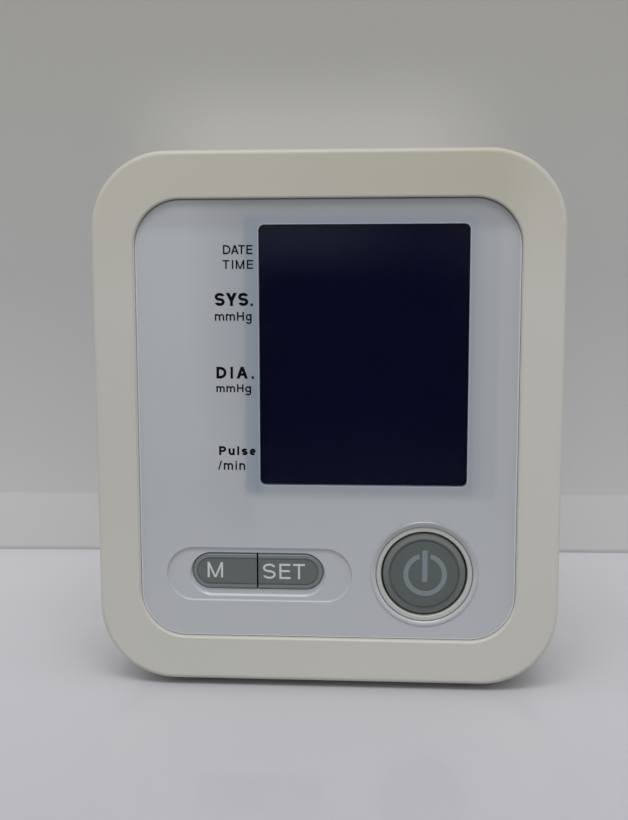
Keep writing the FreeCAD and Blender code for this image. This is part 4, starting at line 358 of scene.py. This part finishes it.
def faceplate_plastic():
    """A clear sheet with grey printed behind it and a window left bare. Its edge is painted pale, as painted
    light in the crease against the bezel, and the top of the bead round the power ring darker, as painted
    shade.
    """
    finish = Finish("printed_faceplate", IOR=1.49)
    away = finish.outside(WINDOW)
    grey = display_behind(finish, printed_grey(finish, away), away)
    # Painted shade on the top of the bead round the power ring, where the lamp lights it.
    painted_bead_shade = finish.fade(finish.distance(finish.outside(POWER_RING), CREST), *CREST_WIDTH, 0.6)
    painted_bead_shade = finish.product(painted_bead_shade, finish.span(finish.z, *CREST_LOW))
    grey = finish.mix(painted_bead_shade, grey, srgb(112, 116, 121))
    # Painted light: the faceplate's edge pale in its crease against the bezel, off the shaded top.
    edge = finish.product(finish.span(finish.outside(PANEL), *PANEL_EDGE), finish.below_top())
    grey = finish.mix(edge, grey, srgb(206, 208, 211))
    line = finish.product(finish.fade(away, *WINDOW_LINE), 0.5)
    grey = finish.mix(line, grey, srgb(180, 186, 196))
    window = finish.fade(away, *WINDOW_EDGE)
    finish.colour(finish.mix(window, grey, srgb(235, 238, 245)))
    finish.rough(finish.span(window, 0.0, 1.0, 0.2, 0.02))
    finish.put(finish.shader.inputs["Transmission Weight"], window)
    finish.bump(finish.product(finish.noise(0.35, 2.0, 0.6), finish.maths("SUBTRACT", 1.0, window)), 0.0006)
    return finish


def lcd_glass():
    """An unlit display, dark blue through its polarizer and a little uneven."""
    finish = Finish("lcd_glass", IOR=1.5)
    haze = finish.span(finish.noise(20.0, 2.0), 0.2, 0.8, smooth=True)
    finish.colour(finish.mix(haze, srgb(10, 14, 52), srgb(15, 19, 57)))
    finish.rough(finish.patches(2.0, 3.0, 0.04, 0.1))
    return finish


# Fades counted from the edge of a key's face, from its skirt, and from the middle of the pair's seam: for the
# painted highlight on the bevel, and the painted shade on the skirts and in the seam.
BEVEL_EDGE, SKIRT_EDGE, SEAM_EDGE = (0.0, 0.15), (0.0, 0.15), (0.17, 0.22)


def button_plastic(name, face, tones, bevel, skirt):
    """Dark grey-green satin plastic of the keys: two tones on the face, and a third, paler one on the bevel
    round it, a painted highlight. The seam between the pair of keys is painted near black, and so is what lies
    further back
    than the y that skirt gives: painted shade in the gap and on the skirts."""
    finish = Finish(name)
    flat = finish.mix(finish.patches(7.0, 3.0), *tones)
    # The bevel round the face takes the paler tone: painted highlight.
    rim = finish.span(finish.outside(face), *BEVEL_EDGE)
    # The seam between the pair of keys is painted near black: painted shade in the gap.
    seam = finish.fade(finish.distance(finish.x, PAIR_SEAM), *SEAM_EDGE)
    front = finish.mix(seam, finish.mix(rim, flat, bevel), srgb(10, 11, 11))
    # Painted shade: what lies further back than the skirt's y is near black.
    painted_skirt_shade = finish.span(finish.y, *offset(skirt, SKIRT_EDGE))
    finish.colour(finish.mix(painted_skirt_shade, front, srgb(30, 32, 32)))
    satin = finish.patches(1.5, 3.0, 0.34, 0.44)
    finish.rough(finish.maths("SUBTRACT", satin, finish.product(rim, 0.06)))
    finish.bump(finish.noise(0.2, 3.0, 0.6), 0.004)
    return finish


def ink(name, colour, shine):
    """Printing ink, slightly uneven in tone and gloss."""
    finish = Finish(name, Specular_IOR_Level=shine)
    finish.colour(finish.mix(finish.patches(0.18, 2.0), shade(colour, 0.94), shade(colour, 1.06)))
    finish.rough(finish.patches(0.18, 2.0, 0.32, 0.45))
    return finish


# ---------------------------------------------------------------- inner materials
TRACKS = {"Scale": 1.0, "Mortar Size": 0.12, "Brick Width": 7.0, "Row Height": 1.3}
PADS, PORES, LAYERS = (0.16, 0.2), (0.1, 0.6), (0.45, 0.55)
# Along a cell, counted from its middle.
BAND_START, BAND_END, CELL_END = (14.0, 14.1), (22.6, 22.7), (24.2, 24.4)
LEAD_EDGE = (-0.01, 0.01)


def board_laminate():
    """Green solder mask over copper tracks, with tinned pads."""
    finish = Finish("circuit_board", IOR=1.5)
    rows = finish.nodes.new("ShaderNodeCombineXYZ")
    finish.put(rows.inputs[0], finish.x)
    finish.put(rows.inputs[1], finish.z)
    tracks = finish.nodes.new("ShaderNodeTexBrick")
    finish.put(tracks.inputs["Vector"], rows.outputs[0])
    for socket, amount in TRACKS.items():
        tracks.inputs[socket].default_value = amount
    line = tracks.outputs["Fac"]
    pads = finish.fade(finish.cells(3.4), *PADS)
    mask = finish.mix(line, srgb(20, 92, 50), srgb(34, 116, 66))
    finish.colour(finish.mix(pads, mask, srgb(190, 188, 176)))
    finish.rough(finish.span(pads, 0.0, 1.0, 0.3, 0.45))
    finish.bump(line, 0.02)
    return finish


def cell_jacket():
    """An AA cell's plain grey sleeve between two steel ends, with a blue band near each end."""
    finish = Finish("cell_sleeve")
    along = finish.maths("ABSOLUTE", finish.x)
    steel = finish.span(along, *CELL_END)
    band = finish.product(finish.span(along, *BAND_START), finish.fade(along, *BAND_END))
    sleeve = finish.mix(finish.patches(9.0, 3.0), srgb(176, 180, 184), srgb(188, 191, 194))
    sleeve = finish.mix(band, sleeve, srgb(58, 98, 132))
    finish.colour(finish.mix(steel, sleeve, srgb(196, 195, 190)))
    finish.put(finish.shader.inputs["Metallic"], steel)
    finish.rough(finish.patches(0.8, 3.0, 0.26, 0.36))
    finish.bump(finish.noise(0.5, 2.0), 0.004)
    return finish


def connector_rubber():
    """A striped elastomer strip: thin carbon layers between soft insulating ones."""
    finish = Finish("zebra_strip")
    layers = finish.span(finish.waves(1.6), *LAYERS)
    finish.colour(finish.mix(layers, srgb(40, 40, 42), srgb(205, 170, 165)))
    finish.rough(finish.span(layers, 0.0, 1.0, 0.5, 0.65))
    finish.bump(layers, 0.004)
    return finish


def wire_pair(name, axis, middle):
    """PVC leads, a little dusty: one red, beyond the middle of the pair along the axis, and one black."""
    finish = Finish(name)
    place = finish.x if axis == "x" else finish.z
    red = finish.span(place, *offset(middle, LEAD_EDGE))
    tint = finish.mix(red, srgb(38, 38, 40), srgb(178, 34, 30))
    dusty = finish.span(finish.noise(1.4, 3.0), *STAIN_RANGE, 0.0, 0.16)
    finish.colour(finish.mix(dusty, tint, srgb(150, 145, 140)))
    finish.rough(finish.patches(0.8, 2.0, 0.36, 0.5))
    finish.bump(finish.noise(0.3, 2.0), 0.006)
    return finish


def copper_winding():
    """Enamelled wire wound in even turns, painted paler on each turn and darker between turns: painted
    highlight and shade.
    """
    finish = Finish("copper_winding", Metallic=1.0)
    turns = finish.waves(1.9)
    # Painted highlight on each turn and painted shade between turns.
    finish.colour(finish.mix(turns, srgb(132, 66, 34), srgb(212, 126, 78)))
    finish.rough(finish.span(turns, 0.0, 1.0, 0.42, 0.24))
    finish.bump(turns, 0.08)
    return finish


def foam():
    """Open-cell foam, painted darker in its pores: painted shade."""
    finish = Finish("sleeve_foam")
    pores = finish.span(finish.cells(0.7), *PORES)
    # Painted shade: the sunk pores darker.
    finish.colour(finish.mix(pores, srgb(34, 34, 36), srgb(74, 74, 77)))
    finish.rough(finish.span(pores, 0.0, 1.0, 0.95, 0.8))
    finish.bump(pores, 0.15)
    return finish


def silicone(name, colour):
    """Soft translucent silicone, faintly cloudy."""
    finish = moulded(name, colour, 0.42, grain=0.5, tone=0.05, Subsurface_Weight=0.25, Subsurface_Scale=0.0015)
    finish.shader.inputs["Subsurface Radius"].default_value = (1.0, 0.8, 0.6)
    return finish


SLOTS = {
    "shell_plastic": shell_plastic(),
    "faceplate_plastic": faceplate_plastic(),
    # The keys' third colour is the painted highlight on their bevel.
    "button_plastic": button_plastic("grey_keys", PAIR_FACE, (srgb(84, 91, 90), srgb(87, 94, 93)),
                                     srgb(104, 112, 110), PAIR_SKIRT),
    "tape": moulded("black_tape", srgb(40, 40, 42), 0.6, grain=0.4, depth=0.01, tone=0.08),
    "foot_rubber": moulded("foot_rubber", srgb(108, 108, 108), 0.72, grain=0.3, depth=0.012, tone=0.05),
    "dome_silicone": silicone("dome_silicone", srgb(208, 208, 202)),
    "screw_steel": metal("plated_screw", srgb(176, 176, 178), 0.3),
    "lcd_glass": lcd_glass(),
    "lcd_reflector": metal("reflector_film", srgb(150, 156, 156), 0.38, stretch=(1, 1, 0.05)),
    "white_plastic": moulded("white_plastic", srgb(226, 226, 222), 0.42),
    "connector_rubber": connector_rubber(),
    "board_laminate": board_laminate(),
    "black_plastic": moulded("black_plastic", srgb(44, 44, 46), 0.4, grain=0.2, depth=0.006, tone=0.08),
    "cell_jacket": cell_jacket(),
    "contact_nickel": metal("nickel", srgb(198, 194, 184), 0.26, stretch=(0.1, 1, 1)),
    "motor_steel": metal("zinc_plate", srgb(190, 190, 188), 0.32, stretch=(1, 0.1, 1)),
    "magnet": moulded("ferrite", srgb(66, 66, 70), 0.66, grain=0.3, depth=0.012, tone=0.1),
    "rotor_steel": metal("bare_steel", srgb(172, 168, 160), 0.36, stretch=(0.08, 1, 1)),
    "spring_steel": metal("spring_steel", srgb(190, 190, 192), 0.24),
    "copper": copper_winding(),
    "diaphragm_rubber": moulded("black_rubber", srgb(44, 44, 44), 0.62, grain=0.35, depth=0.01, tone=0.08),
    "sleeve_foam": foam(),
    "hose_silicone": silicone("hose_silicone", srgb(218, 218, 212)),
}
# The power key: its third colour is the painted highlight on its bevel.
POWER_PLASTIC = button_plastic("grey_power_key", POWER_FACE, (srgb(76, 82, 81), srgb(79, 85, 84)),
                               srgb(96, 100, 97), POWER_SKIRT)
# Along which axis the two leads of a pair lie side by side, and the middle between them.
LEAD_PAIRS = {
    "battery_leads": ("z", 30.1),
    "jack_leads": ("z", 62.1),
    "motor_leads": ("z", 88.2),
    "valve_leads": ("x", -40.0),
}


def dress_frame():
    """Gives every CAD node the finish of its slot in the record, and the power key and the leads their own."""
    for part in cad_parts.values():
        slot = part.data.materials[0].name.split(".")[0]
        if part.name == "power_button":
            finish = POWER_PLASTIC
        elif part.name in LEAD_PAIRS:
            finish = wire_pair(part.name, *LEAD_PAIRS[part.name])
        else:
            finish = SLOTS[slot]
        part.data.materials[0] = finish.material


# ---------------------------------------------------------------- parts that give way
KEY_TRAVEL, VALVE_TRAVEL = 0.9, 0.8
X_AXIS, Y_AXIS = Vector((1, 0, 0)), Vector((0, 1, 0))
# Node, slot of its finish, joint that presses it, axis and travel in millimetres.
GIVING = (
    ("power_dome", "dome_silicone", "power_button_press", Y_AXIS, KEY_TRAVEL),
    ("memory_dome", "dome_silicone", "memory_button_press", Y_AXIS, KEY_TRAVEL),
    ("set_dome", "dome_silicone", "set_button_press", Y_AXIS, KEY_TRAVEL),
    ("valve_spring", "spring_steel", "valve_plunger_slide", X_AXIS, VALVE_TRAVEL),
)


def add_giving():
    """The key domes and the valve's spring again, as copies that ride on the casing's body, with their CAD
    nodes hidden.
    """
    for node, slot, joint, axis, travel in GIVING:
        piece = bpy.data.objects.new(node + "_flexing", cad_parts[node].data.copy())
        bpy.context.scene.collection.objects.link(piece)
        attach(piece, "casing")
        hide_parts(node)
        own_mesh(piece)


# ---------------------------------------------------------------- letters
# A letter is a list of closed outlines of (x, z) points. A capital is one unit high, and a letter's width and
# the width of its pen are in that unit too.
ARC_STEPS = 24
SMALL = 0.76
MIDDLE_BAR = 0.52


def upright(left, right, foot, top):
    return [(left, foot), (right, foot), (right, top), (left, top)]


def slant(foot_x, top_x, width, foot=0):
    """A leaning stroke up to a capital's height, cut level at both ends. Its places are those of its middle."""
    half = width / 2
    return [(foot_x - half, foot), (foot_x + half, foot), (top_x + half, 1), (top_x - half, 1)]


def bow(middle, reach, width, start, end):
    """Part of an oval stroke, from one angle to another in degrees. Its reach is that of its middle line."""
    outer, inner = [], []
    for step in range(ARC_STEPS + 1):
        angle = math.radians(start + (end - start) * step / ARC_STEPS)
        across, rise = math.cos(angle), math.sin(angle)
        outer.append((middle[0] + (reach[0] + width / 2) * across, middle[1] + (reach[1] + width / 2) * rise))
        inner.append((middle[0] + (reach[0] - width / 2) * across, middle[1] + (reach[1] - width / 2) * rise))
    return outer + inner[::-1]


def letter_s(wide, high, pen):
    half = pen / 2
    reach = (wide / 2 - half, (high / 2 - half) / 2)
    return [bow((wide / 2, high - half - reach[1]), reach, pen, 18, 270),
            bow((wide / 2, half + reach[1]), reach, pen, 90, -162)]


def arches(count, wide, pen):
    """The letters n and m: a stem and one or two arches."""
    half = pen / 2
    step = (wide - pen) / count
    reach = step / 2
    strokes = [upright(0, pen, 0, SMALL)]
    for turn in range(count):
        middle = (half + step * (turn + 0.5), SMALL - half - reach)
        right = middle[0] + reach
        strokes += [bow(middle, (reach, reach), pen, 0, 150), upright(right - half, right + half, 0, middle[1])]
    return strokes


def capital(sign, wide, pen):
    """The strokes of a capital letter."""
    half, middle = pen / 2, wide / 2
    stem, far_stem = upright(0, pen, 0, 1), upright(wide - pen, wide, 0, 1)
    if sign in "DP":
        foot, flat = {"D": (half, 0.36 * wide), "P": (0.46, 0.48 * wide)}[sign]
        reach = (wide - flat - half, (1 - half - foot) / 2)
        return [stem, upright(pen, flat, 1 - pen, 1), upright(pen, flat, foot - half, foot + half),
                bow((flat, foot + reach[1]), reach, pen, -90, 90)]
    if sign == "A":
        leg, inset, bar = pen * 1.12, 0.15 * wide, 0.24
        return [slant(leg / 2, middle, leg), slant(wide - leg / 2, middle, leg),
                upright(inset, wide - inset, bar, bar + pen * 0.9)]
    if sign == "Y":
        leg, fork = pen * 1.2, 0.4
        return [slant(middle, leg / 2, leg, fork), slant(middle, wide - leg / 2, leg, fork),
                upright(middle - half, middle + half, 0, fork + half)]
    if sign == "T":
        return [upright(0, wide, 1 - pen, 1), upright(middle - half, middle + half, 0, 1 - pen)]
    if sign == "E":
        return [stem, upright(pen, wide, 1 - pen, 1), upright(pen, wide, 0, pen),
                upright(pen, wide * 0.94, MIDDLE_BAR - half, MIDDLE_BAR + half)]
    if sign == "H":
        return [stem, far_stem, upright(pen, wide - pen, MIDDLE_BAR - half, MIDDLE_BAR + half)]
    if sign == "M":
        leg = pen * 0.95
        return [stem, far_stem, slant(middle, leg / 2, leg), slant(middle, wide - leg / 2, leg)]
    if sign == "I":
        return [upright(0, wide, 0, 1)]
    return letter_s(wide, 1.0, pen)


def small_letter(sign, wide, pen):
    """The strokes of a small letter or of a mark."""
    half, middle = pen / 2, (wide / 2, SMALL / 2)
    if sign in "mn":
        return arches("nm".index(sign) + 1, wide, pen)
    if sign == "u":
        return [[(wide - x, SMALL - z) for x, z in stroke] for stroke in arches(1, wide, pen)]
    if sign == "l":
        return [upright(0, wide, 0, 1)]
    if sign == "i":
        return [upright(0, wide, 0, SMALL), upright(0, wide, 1 - pen, 1)]
    if sign == ".":
        return [upright(0, wide, 0, wide)]
    if sign == "/":
        return [slant(half, wide - half, pen * 0.85)]
    if sign == "s":
        return letter_s(wide, SMALL, pen)
    reach = (wide / 2 - half, SMALL / 2 - half)
    if sign == "e":
        bar = half * 0.9
        return [bow(middle, reach, pen, 0, 318), upright(pen, wide - half, SMALL / 2 - bar, SMALL / 2 + bar)]
    drop, hook = -0.1, 0.2
    return [bow(middle, reach, pen, 0, 360), upright(wide - pen, wide, drop, SMALL),
            bow((wide / 2, drop), (reach[0], hook), pen, 0, -160)]


# ---------------------------------------------------------------- legends
# The ink starts just under its surface and rises a little from it, each stroke by a step more than the last, so
# that no two of them lie in one plane.
INK_ROOT, INK_RISE, INK_STEP = 0.01, 0.02, 0.0008
# How far the faceplate's bead and the power key's rim stand out before the flat that is printed.
BEAD_RISE, POWER_RIM_RISE = 0.3, 0.15
STANDBY = {"centre": (23.28, 27.74), "reach": (4.55, 4.58), "pen": 1.15, "gap": (107, 434)}
STANDBY_BAR = (23.2 - 0.62, 23.2 + 0.62, 26.0, 33.52)

# Name, text, pen as a share of the letters' height, foot and top, and each letter's left and right.
PLATE_LEGENDS = (
    ("legend_date", "DATE", 0.165, (102.57, 104.66),
     ((-23.69, -21.93), (-21.85, -20.06), (-20.18, -18.65), (-18.3, -16.87))),
    ("legend_time", "TIME", 0.165, (99.23, 101.26),
     ((-23.82, -22.25), (-21.67, -21.33), (-20.77, -18.78), (-18.21, -16.76))),
    ("legend_sys", "SYS.", 0.225, (90.77, 93.78),
     ((-25.76, -23.43), (-23.15, -20.57), (-20.29, -17.95), (-17.45, -16.89))),
    ("legend_sys_unit", "mmHg", 0.175, (87.39, 89.4),
     ((-25.78, -23.58), (-23.22, -21.06), (-20.63, -18.99), (-18.57, -17.21))),
    ("legend_dia", "DIA.", 0.23, (73.96, 76.71),
     ((-25.57, -23.22), (-22.27, -21.69), (-20.87, -18.22), (-17.37, -16.81))),
    ("legend_dia_unit", "mmHg", 0.185, (70.78, 72.65),
     ((-25.64, -23.66), (-23.29, -21.23), (-20.79, -19.25), (-18.89, -17.48))),
    ("legend_pulse", "Pulse", 0.235, (55.93, 58.04),
     ((-25.18, -23.51), (-22.95, -21.5), (-20.89, -20.43), (-19.86, -18.45), (-17.94, -16.52))),
    ("legend_pulse_unit", "/min", 0.175, (52.43, 54.58),
     ((-25.5, -24.5), (-24.11, -21.91), (-21.34, -20.99), (-20.45, -19.05))),
)
KEY_LEGENDS = (
    ("legend_memory", "M", 0.13, (26.28, 30.01), ((-28.4, -24.7),), "memory_button"),
    ("legend_set", "SET", 0.13, (26.12, 29.82), ((-15.12, -12.1), (-11.2, -8.57), (-7.95, -5.09)),
     "set_button"),
)


def face_of(node):
    """The y of a node's foremost face, in millimetres."""
    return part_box(node)[0].y / MM


def printed(name, strokes, surface, finish, body):
    """Flat strokes of ink on the plane y = surface."""
    form = bmesh.new()
    for layer, stroke in enumerate(strokes):
        rims = []
        for y in (surface - INK_RISE - INK_STEP * layer, surface + INK_ROOT):
            rims.append([form.verts.new((x * MM, y * MM, z * MM)) for x, z in stroke])
            form.faces.new(rims[-1])
        front, back = rims
        for corner in range(len(stroke)):
            form.faces.new((front[corner - 1], front[corner], back[corner], back[corner - 1]))
    bmesh.ops.recalc_face_normals(form, faces=form.faces[:])
    mesh = bpy.data.meshes.new(name)
    form.to_mesh(mesh)
    form.free()
    mesh.materials.append(finish.material)
    piece = bpy.data.objects.new(name, mesh)
    bpy.context.scene.collection.objects.link(piece)
    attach(piece, body)


def legend(name, text, pen, heights, spans, surface, finish, body):
    """Text whose letters fill spans from left to right, between two heights."""
    foot, top = heights
    size = top - foot
    strokes = []
    for sign, (left, right) in zip(text, spans):
        draw = capital if sign.isupper() else small_letter
        shapes = draw(sign, (right - left) / size, pen)
        strokes += [[(left + x * size, foot + z * size) for x, z in shape] for shape in shapes]
    printed(name, strokes, surface, finish, body)


def add_legends():
    """The texts on the faceplate and the pair of keys, and the standby sign: an open ring, a bar in its gap."""
    dark = ink("dark_ink", srgb(6, 6, 9), 0.06)
    pale = ink("pale_ink", srgb(184, 190, 190), 0.4)
    soft = ink("grey_ink", srgb(113, 123, 127), 0.4)
    plate = face_of("faceplate") + BEAD_RISE
    for row in PLATE_LEGENDS:
        legend(*row, plate, dark, "casing")
    keys = face_of("memory_button")
    for *row, key in KEY_LEGENDS:
        legend(*row, keys, pale, key)
    ring = bow(STANDBY["centre"], STANDBY["reach"], STANDBY["pen"], *STANDBY["gap"])
    printed("power_symbol", [ring, upright(*STANDBY_BAR)], face_of("power_button") + POWER_RIM_RISE, soft,
            "power_button")


# ---------------------------------------------------------------- studio
CAMERA_PLACE = Vector((0.01285, -0.2644, 0.09535))
CAMERA_TURN, CAMERA_DIP, CAMERA_TILT = math.radians(3.75), math.radians(6.81), math.radians(-0.12)
CAMERA_LENS = 45.66
# FLOOR_SIZE and WALL_SIZE are halves, in metres. The wall stands at WALL_PLACE in the middle, and further back
# to the right, by WALL_SLOPE.
FLOOR_SIZE, FLOOR_NEAR = 1.6, (-35.0, -90.0)
WALL_SIZE, WALL_HEIGHT, WALL_PLACE, WALL_SLOPE = 1.5, 1.2, 0.1032, 0.0314
# Heights at which the wall's tones change, and the glow behind the unit. The wall's darker upper part and the
# glow are painted light, and the dark line at its seam with the table is painted shade.
WALL_SEAM, SKIRTING, WALL_LOW, WALL_HIGH = (0.0, 1.6), (20.7, 21.3), (16.0, 100.0), (100.0, 190.0)
GLOW_HEIGHT, GLOW_MIDDLE, GLOW_WIDTH = (178.0, 140.0), -10.0, (78.0, 28.0)
# The ramp, a dark sheet that stands in for shade and puts painted reflections in the window, starts that far
# before the faceplate. It is as large as the part of the front, left, right, foot and top, that mirrors it to
# the camera. The mirrored fades, for its paler painted patches, are given as places on the front too.
RAMP_START, RAMP_SLOPE, RAMP_VIEW = 100.0, 0.249, (-18.6, 35.4, 47.9, 111.7)
MIRRORED_TOP, MIRRORED_LEFT, MIRRORED_FOOT = (95.7, 106.7), (21.4, -3.6), (67.7, 51.7)


def sheet(name, corners, finish):
    mesh = bpy.data.meshes.new(name)
    mesh.from_pydata(corners, [], [(0, 1, 2, 3)])
    mesh.materials.append(finish.material)
    plane = bpy.data.objects.new(name, mesh)
    bpy.context.scene.collection.objects.link(plane)
    return plane


def clear_back(finish):
    """Lets light and sight through a sheet from its back."""
    clear = finish.nodes.new("ShaderNodeBsdfTransparent")
    choice = finish.nodes.new("ShaderNodeMixShader")
    finish.links.new(finish.nodes.new("ShaderNodeNewGeometry").outputs["Backfacing"], choice.inputs[0])
    finish.links.new(finish.shader.outputs[0], choice.inputs[1])
    finish.links.new(clear.outputs[0], choice.inputs[2])
    finish.links.new(choice.outputs[0], finish.nodes["Material Output"].inputs["Surface"])


def add_floor():
    """A pale, faintly glossy table, a little darker towards the camera."""
    finish = Finish("table_top", Specular_IOR_Level=0.3)
    tone = finish.mix(finish.patches(160.0, 2.0), srgb(178, 177, 182), srgb(182, 181, 186))
    finish.colour(finish.mix(finish.span(finish.y, *FLOOR_NEAR), tone, srgb(172, 172, 177)))
    finish.rough(finish.patches(60.0, 3.0, 0.1, 0.16))
    corners = ((-FLOOR_SIZE, -FLOOR_SIZE, 0), (FLOOR_SIZE, -FLOOR_SIZE, 0),
               (FLOOR_SIZE, FLOOR_SIZE, 0), (-FLOOR_SIZE, FLOOR_SIZE, 0))
    sheet("table_top", corners, finish)


def add_wall():
    """The wall behind the table, with a pale skirting. It is painted darker higher up and paler in a patch
    behind the unit, as painted light, and darker along its seam with the table, as painted shade. It is clear
    from its back, and shades nothing.
    """
    finish = Finish("wall", Roughness=0.6)
    # Painted light: the wall darker higher up.
    tone = finish.mix(finish.span(finish.z, *WALL_LOW), srgb(185, 185, 186), srgb(161, 161, 161))
    tone = finish.mix(finish.span(finish.z, *WALL_HIGH), tone, srgb(150, 149, 144))
    # A painted patch of light on the wall behind the unit.
    painted_glow = finish.product(finish.span(finish.z, *GLOW_HEIGHT, smooth=True),
                          finish.span(finish.distance(finish.x, GLOW_MIDDLE), *GLOW_WIDTH, smooth=True))
    tone = finish.mix(painted_glow, tone, srgb(178, 177, 171))
    tone = finish.mix(finish.fade(finish.z, *SKIRTING), tone, srgb(192, 192, 193))
    # Painted shade: a dark line along the seam with the table.
    finish.colour(finish.mix(finish.fade(finish.z, *WALL_SEAM, 0.6), tone, srgb(130, 130, 130)))
    clear_back(finish)
    left, right = WALL_PLACE - WALL_SLOPE * WALL_SIZE, WALL_PLACE + WALL_SLOPE * WALL_SIZE
    corners = ((-WALL_SIZE, left, 0), (WALL_SIZE, right, 0),
               (WALL_SIZE, right, WALL_HEIGHT), (-WALL_SIZE, left, WALL_HEIGHT))
    wall = sheet("wall", corners, finish)
    wall.visible_diffuse = False
    wall.visible_shadow = False


def add_ramp():
    """A dark ramp before the unit, which only the window mirrors: a dark sheet that stands in for shade, with
    paler painted patches that show as reflections near the window's top left and its foot. It rises away from
    the unit more steeply than the table's mirrored rays in the views from behind, so those meet its back, which
    is clear."""
    finish = Finish("dark_ramp", Roughness=1.0, Specular_IOR_Level=0.0)
    plate = face_of("faceplate")
    eye_x, eye_y, eye_z = (part / MM for part in CAMERA_PLACE)
    depth = plate - eye_y
    reach = finish.maths("DIVIDE", finish.maths("SUBTRACT", plate, finish.y), depth)
    whole = finish.maths("ADD", reach, 1.0)
    across = finish.maths("DIVIDE", finish.maths("ADD", finish.x, finish.product(reach, eye_x)), whole)
    rise = finish.maths("DIVIDE", finish.maths("ADD", finish.z, finish.product(reach, eye_z)), whole)
    # Paler painted patches, which the window shows as reflections near its top left and its foot.
    high = finish.product(finish.span(rise, *MIRRORED_TOP, smooth=True),
                          finish.span(across, *MIRRORED_LEFT, 0.3, 1.0, smooth=True))
    low = finish.span(rise, *MIRRORED_FOOT, 0.0, 0.22, smooth=True)
    finish.colour(finish.mix(finish.maths("MAXIMUM", high, low), srgb(30, 30, 30), srgb(76, 79, 86)))
    clear_back(finish)

    def on_ramp(x, z):
        """Where the sight of the front's point (x, z), mirrored there, meets the ramp."""
        away = (z + RAMP_SLOPE * RAMP_START) / (RAMP_SLOPE - (z - eye_z) / depth)
        aside = x + (x - eye_x) * away / depth
        return (aside * MM, (plate - away) * MM, RAMP_SLOPE * (away - RAMP_START) * MM)

    left, right, foot, top = RAMP_VIEW
    corners = (on_ramp(left, foot), on_ramp(left, top), on_ramp(right, top), on_ramp(right, foot))
    ramp = sheet("dark_ramp", corners, finish)
    ramp.visible_camera = False
    ramp.visible_diffuse = False
    ramp.visible_shadow = False


def add_world(colour, strength):
    world = bpy.data.worlds.new("studio")
    world.use_nodes = True
    background = world.node_tree.nodes["Background"]
    background.inputs["Color"].default_value = colour
    background.inputs["Strength"].default_value = strength
    bpy.context.scene.world = world


def add_lamp(name, place, aim, size, power):
    lamp = bpy.data.lights.new(name, "AREA")
    lamp.shape = "RECTANGLE"
    lamp.size, lamp.size_y = size
    lamp.energy = power
    holder = bpy.data.objects.new(name, lamp)
    bpy.context.scene.collection.objects.link(holder)
    holder.location = place
    holder.rotation_mode = "QUATERNION"
    holder.rotation_quaternion = (Vector(aim) - Vector(place)).to_track_quat("-Z", "Y")


def add_camera():
    """The photograph's view: from the front, a little to the right and above the middle."""
    level = math.cos(CAMERA_DIP)
    ahead = Vector((-math.sin(CAMERA_TURN) * level, math.cos(CAMERA_TURN) * level, -math.sin(CAMERA_DIP)))
    right = Vector((math.cos(CAMERA_TURN), math.sin(CAMERA_TURN), 0.0))
    up = right.cross(ahead)
    right, up = (right * math.cos(CAMERA_TILT) + up * math.sin(CAMERA_TILT),
                 up * math.cos(CAMERA_TILT) - right * math.sin(CAMERA_TILT))
    camera = bpy.data.cameras.new("camera")
    camera.lens = CAMERA_LENS
    camera.clip_start, camera.clip_end = 0.01, 20.0
    holder = bpy.data.objects.new("camera", camera)
    bpy.context.scene.collection.objects.link(holder)
    holder.matrix_world = Matrix.Translation(CAMERA_PLACE) @ Matrix((right, up, -ahead)).transposed().to_4x4()
    bpy.context.scene.camera = holder


dress_frame()
add_giving()
add_legends()
add_floor()
add_wall()
add_ramp()
add_world(colour=srgb(252, 252, 251), strength=0.92)
add_lamp("front", place=(0.0, -0.55, 1.094), aim=(0.0, 0.0, 0.06), size=(0.8, 0.35), power=6.5)
add_camera()
bpy.context.scene.view_settings.view_transform = "Standard"
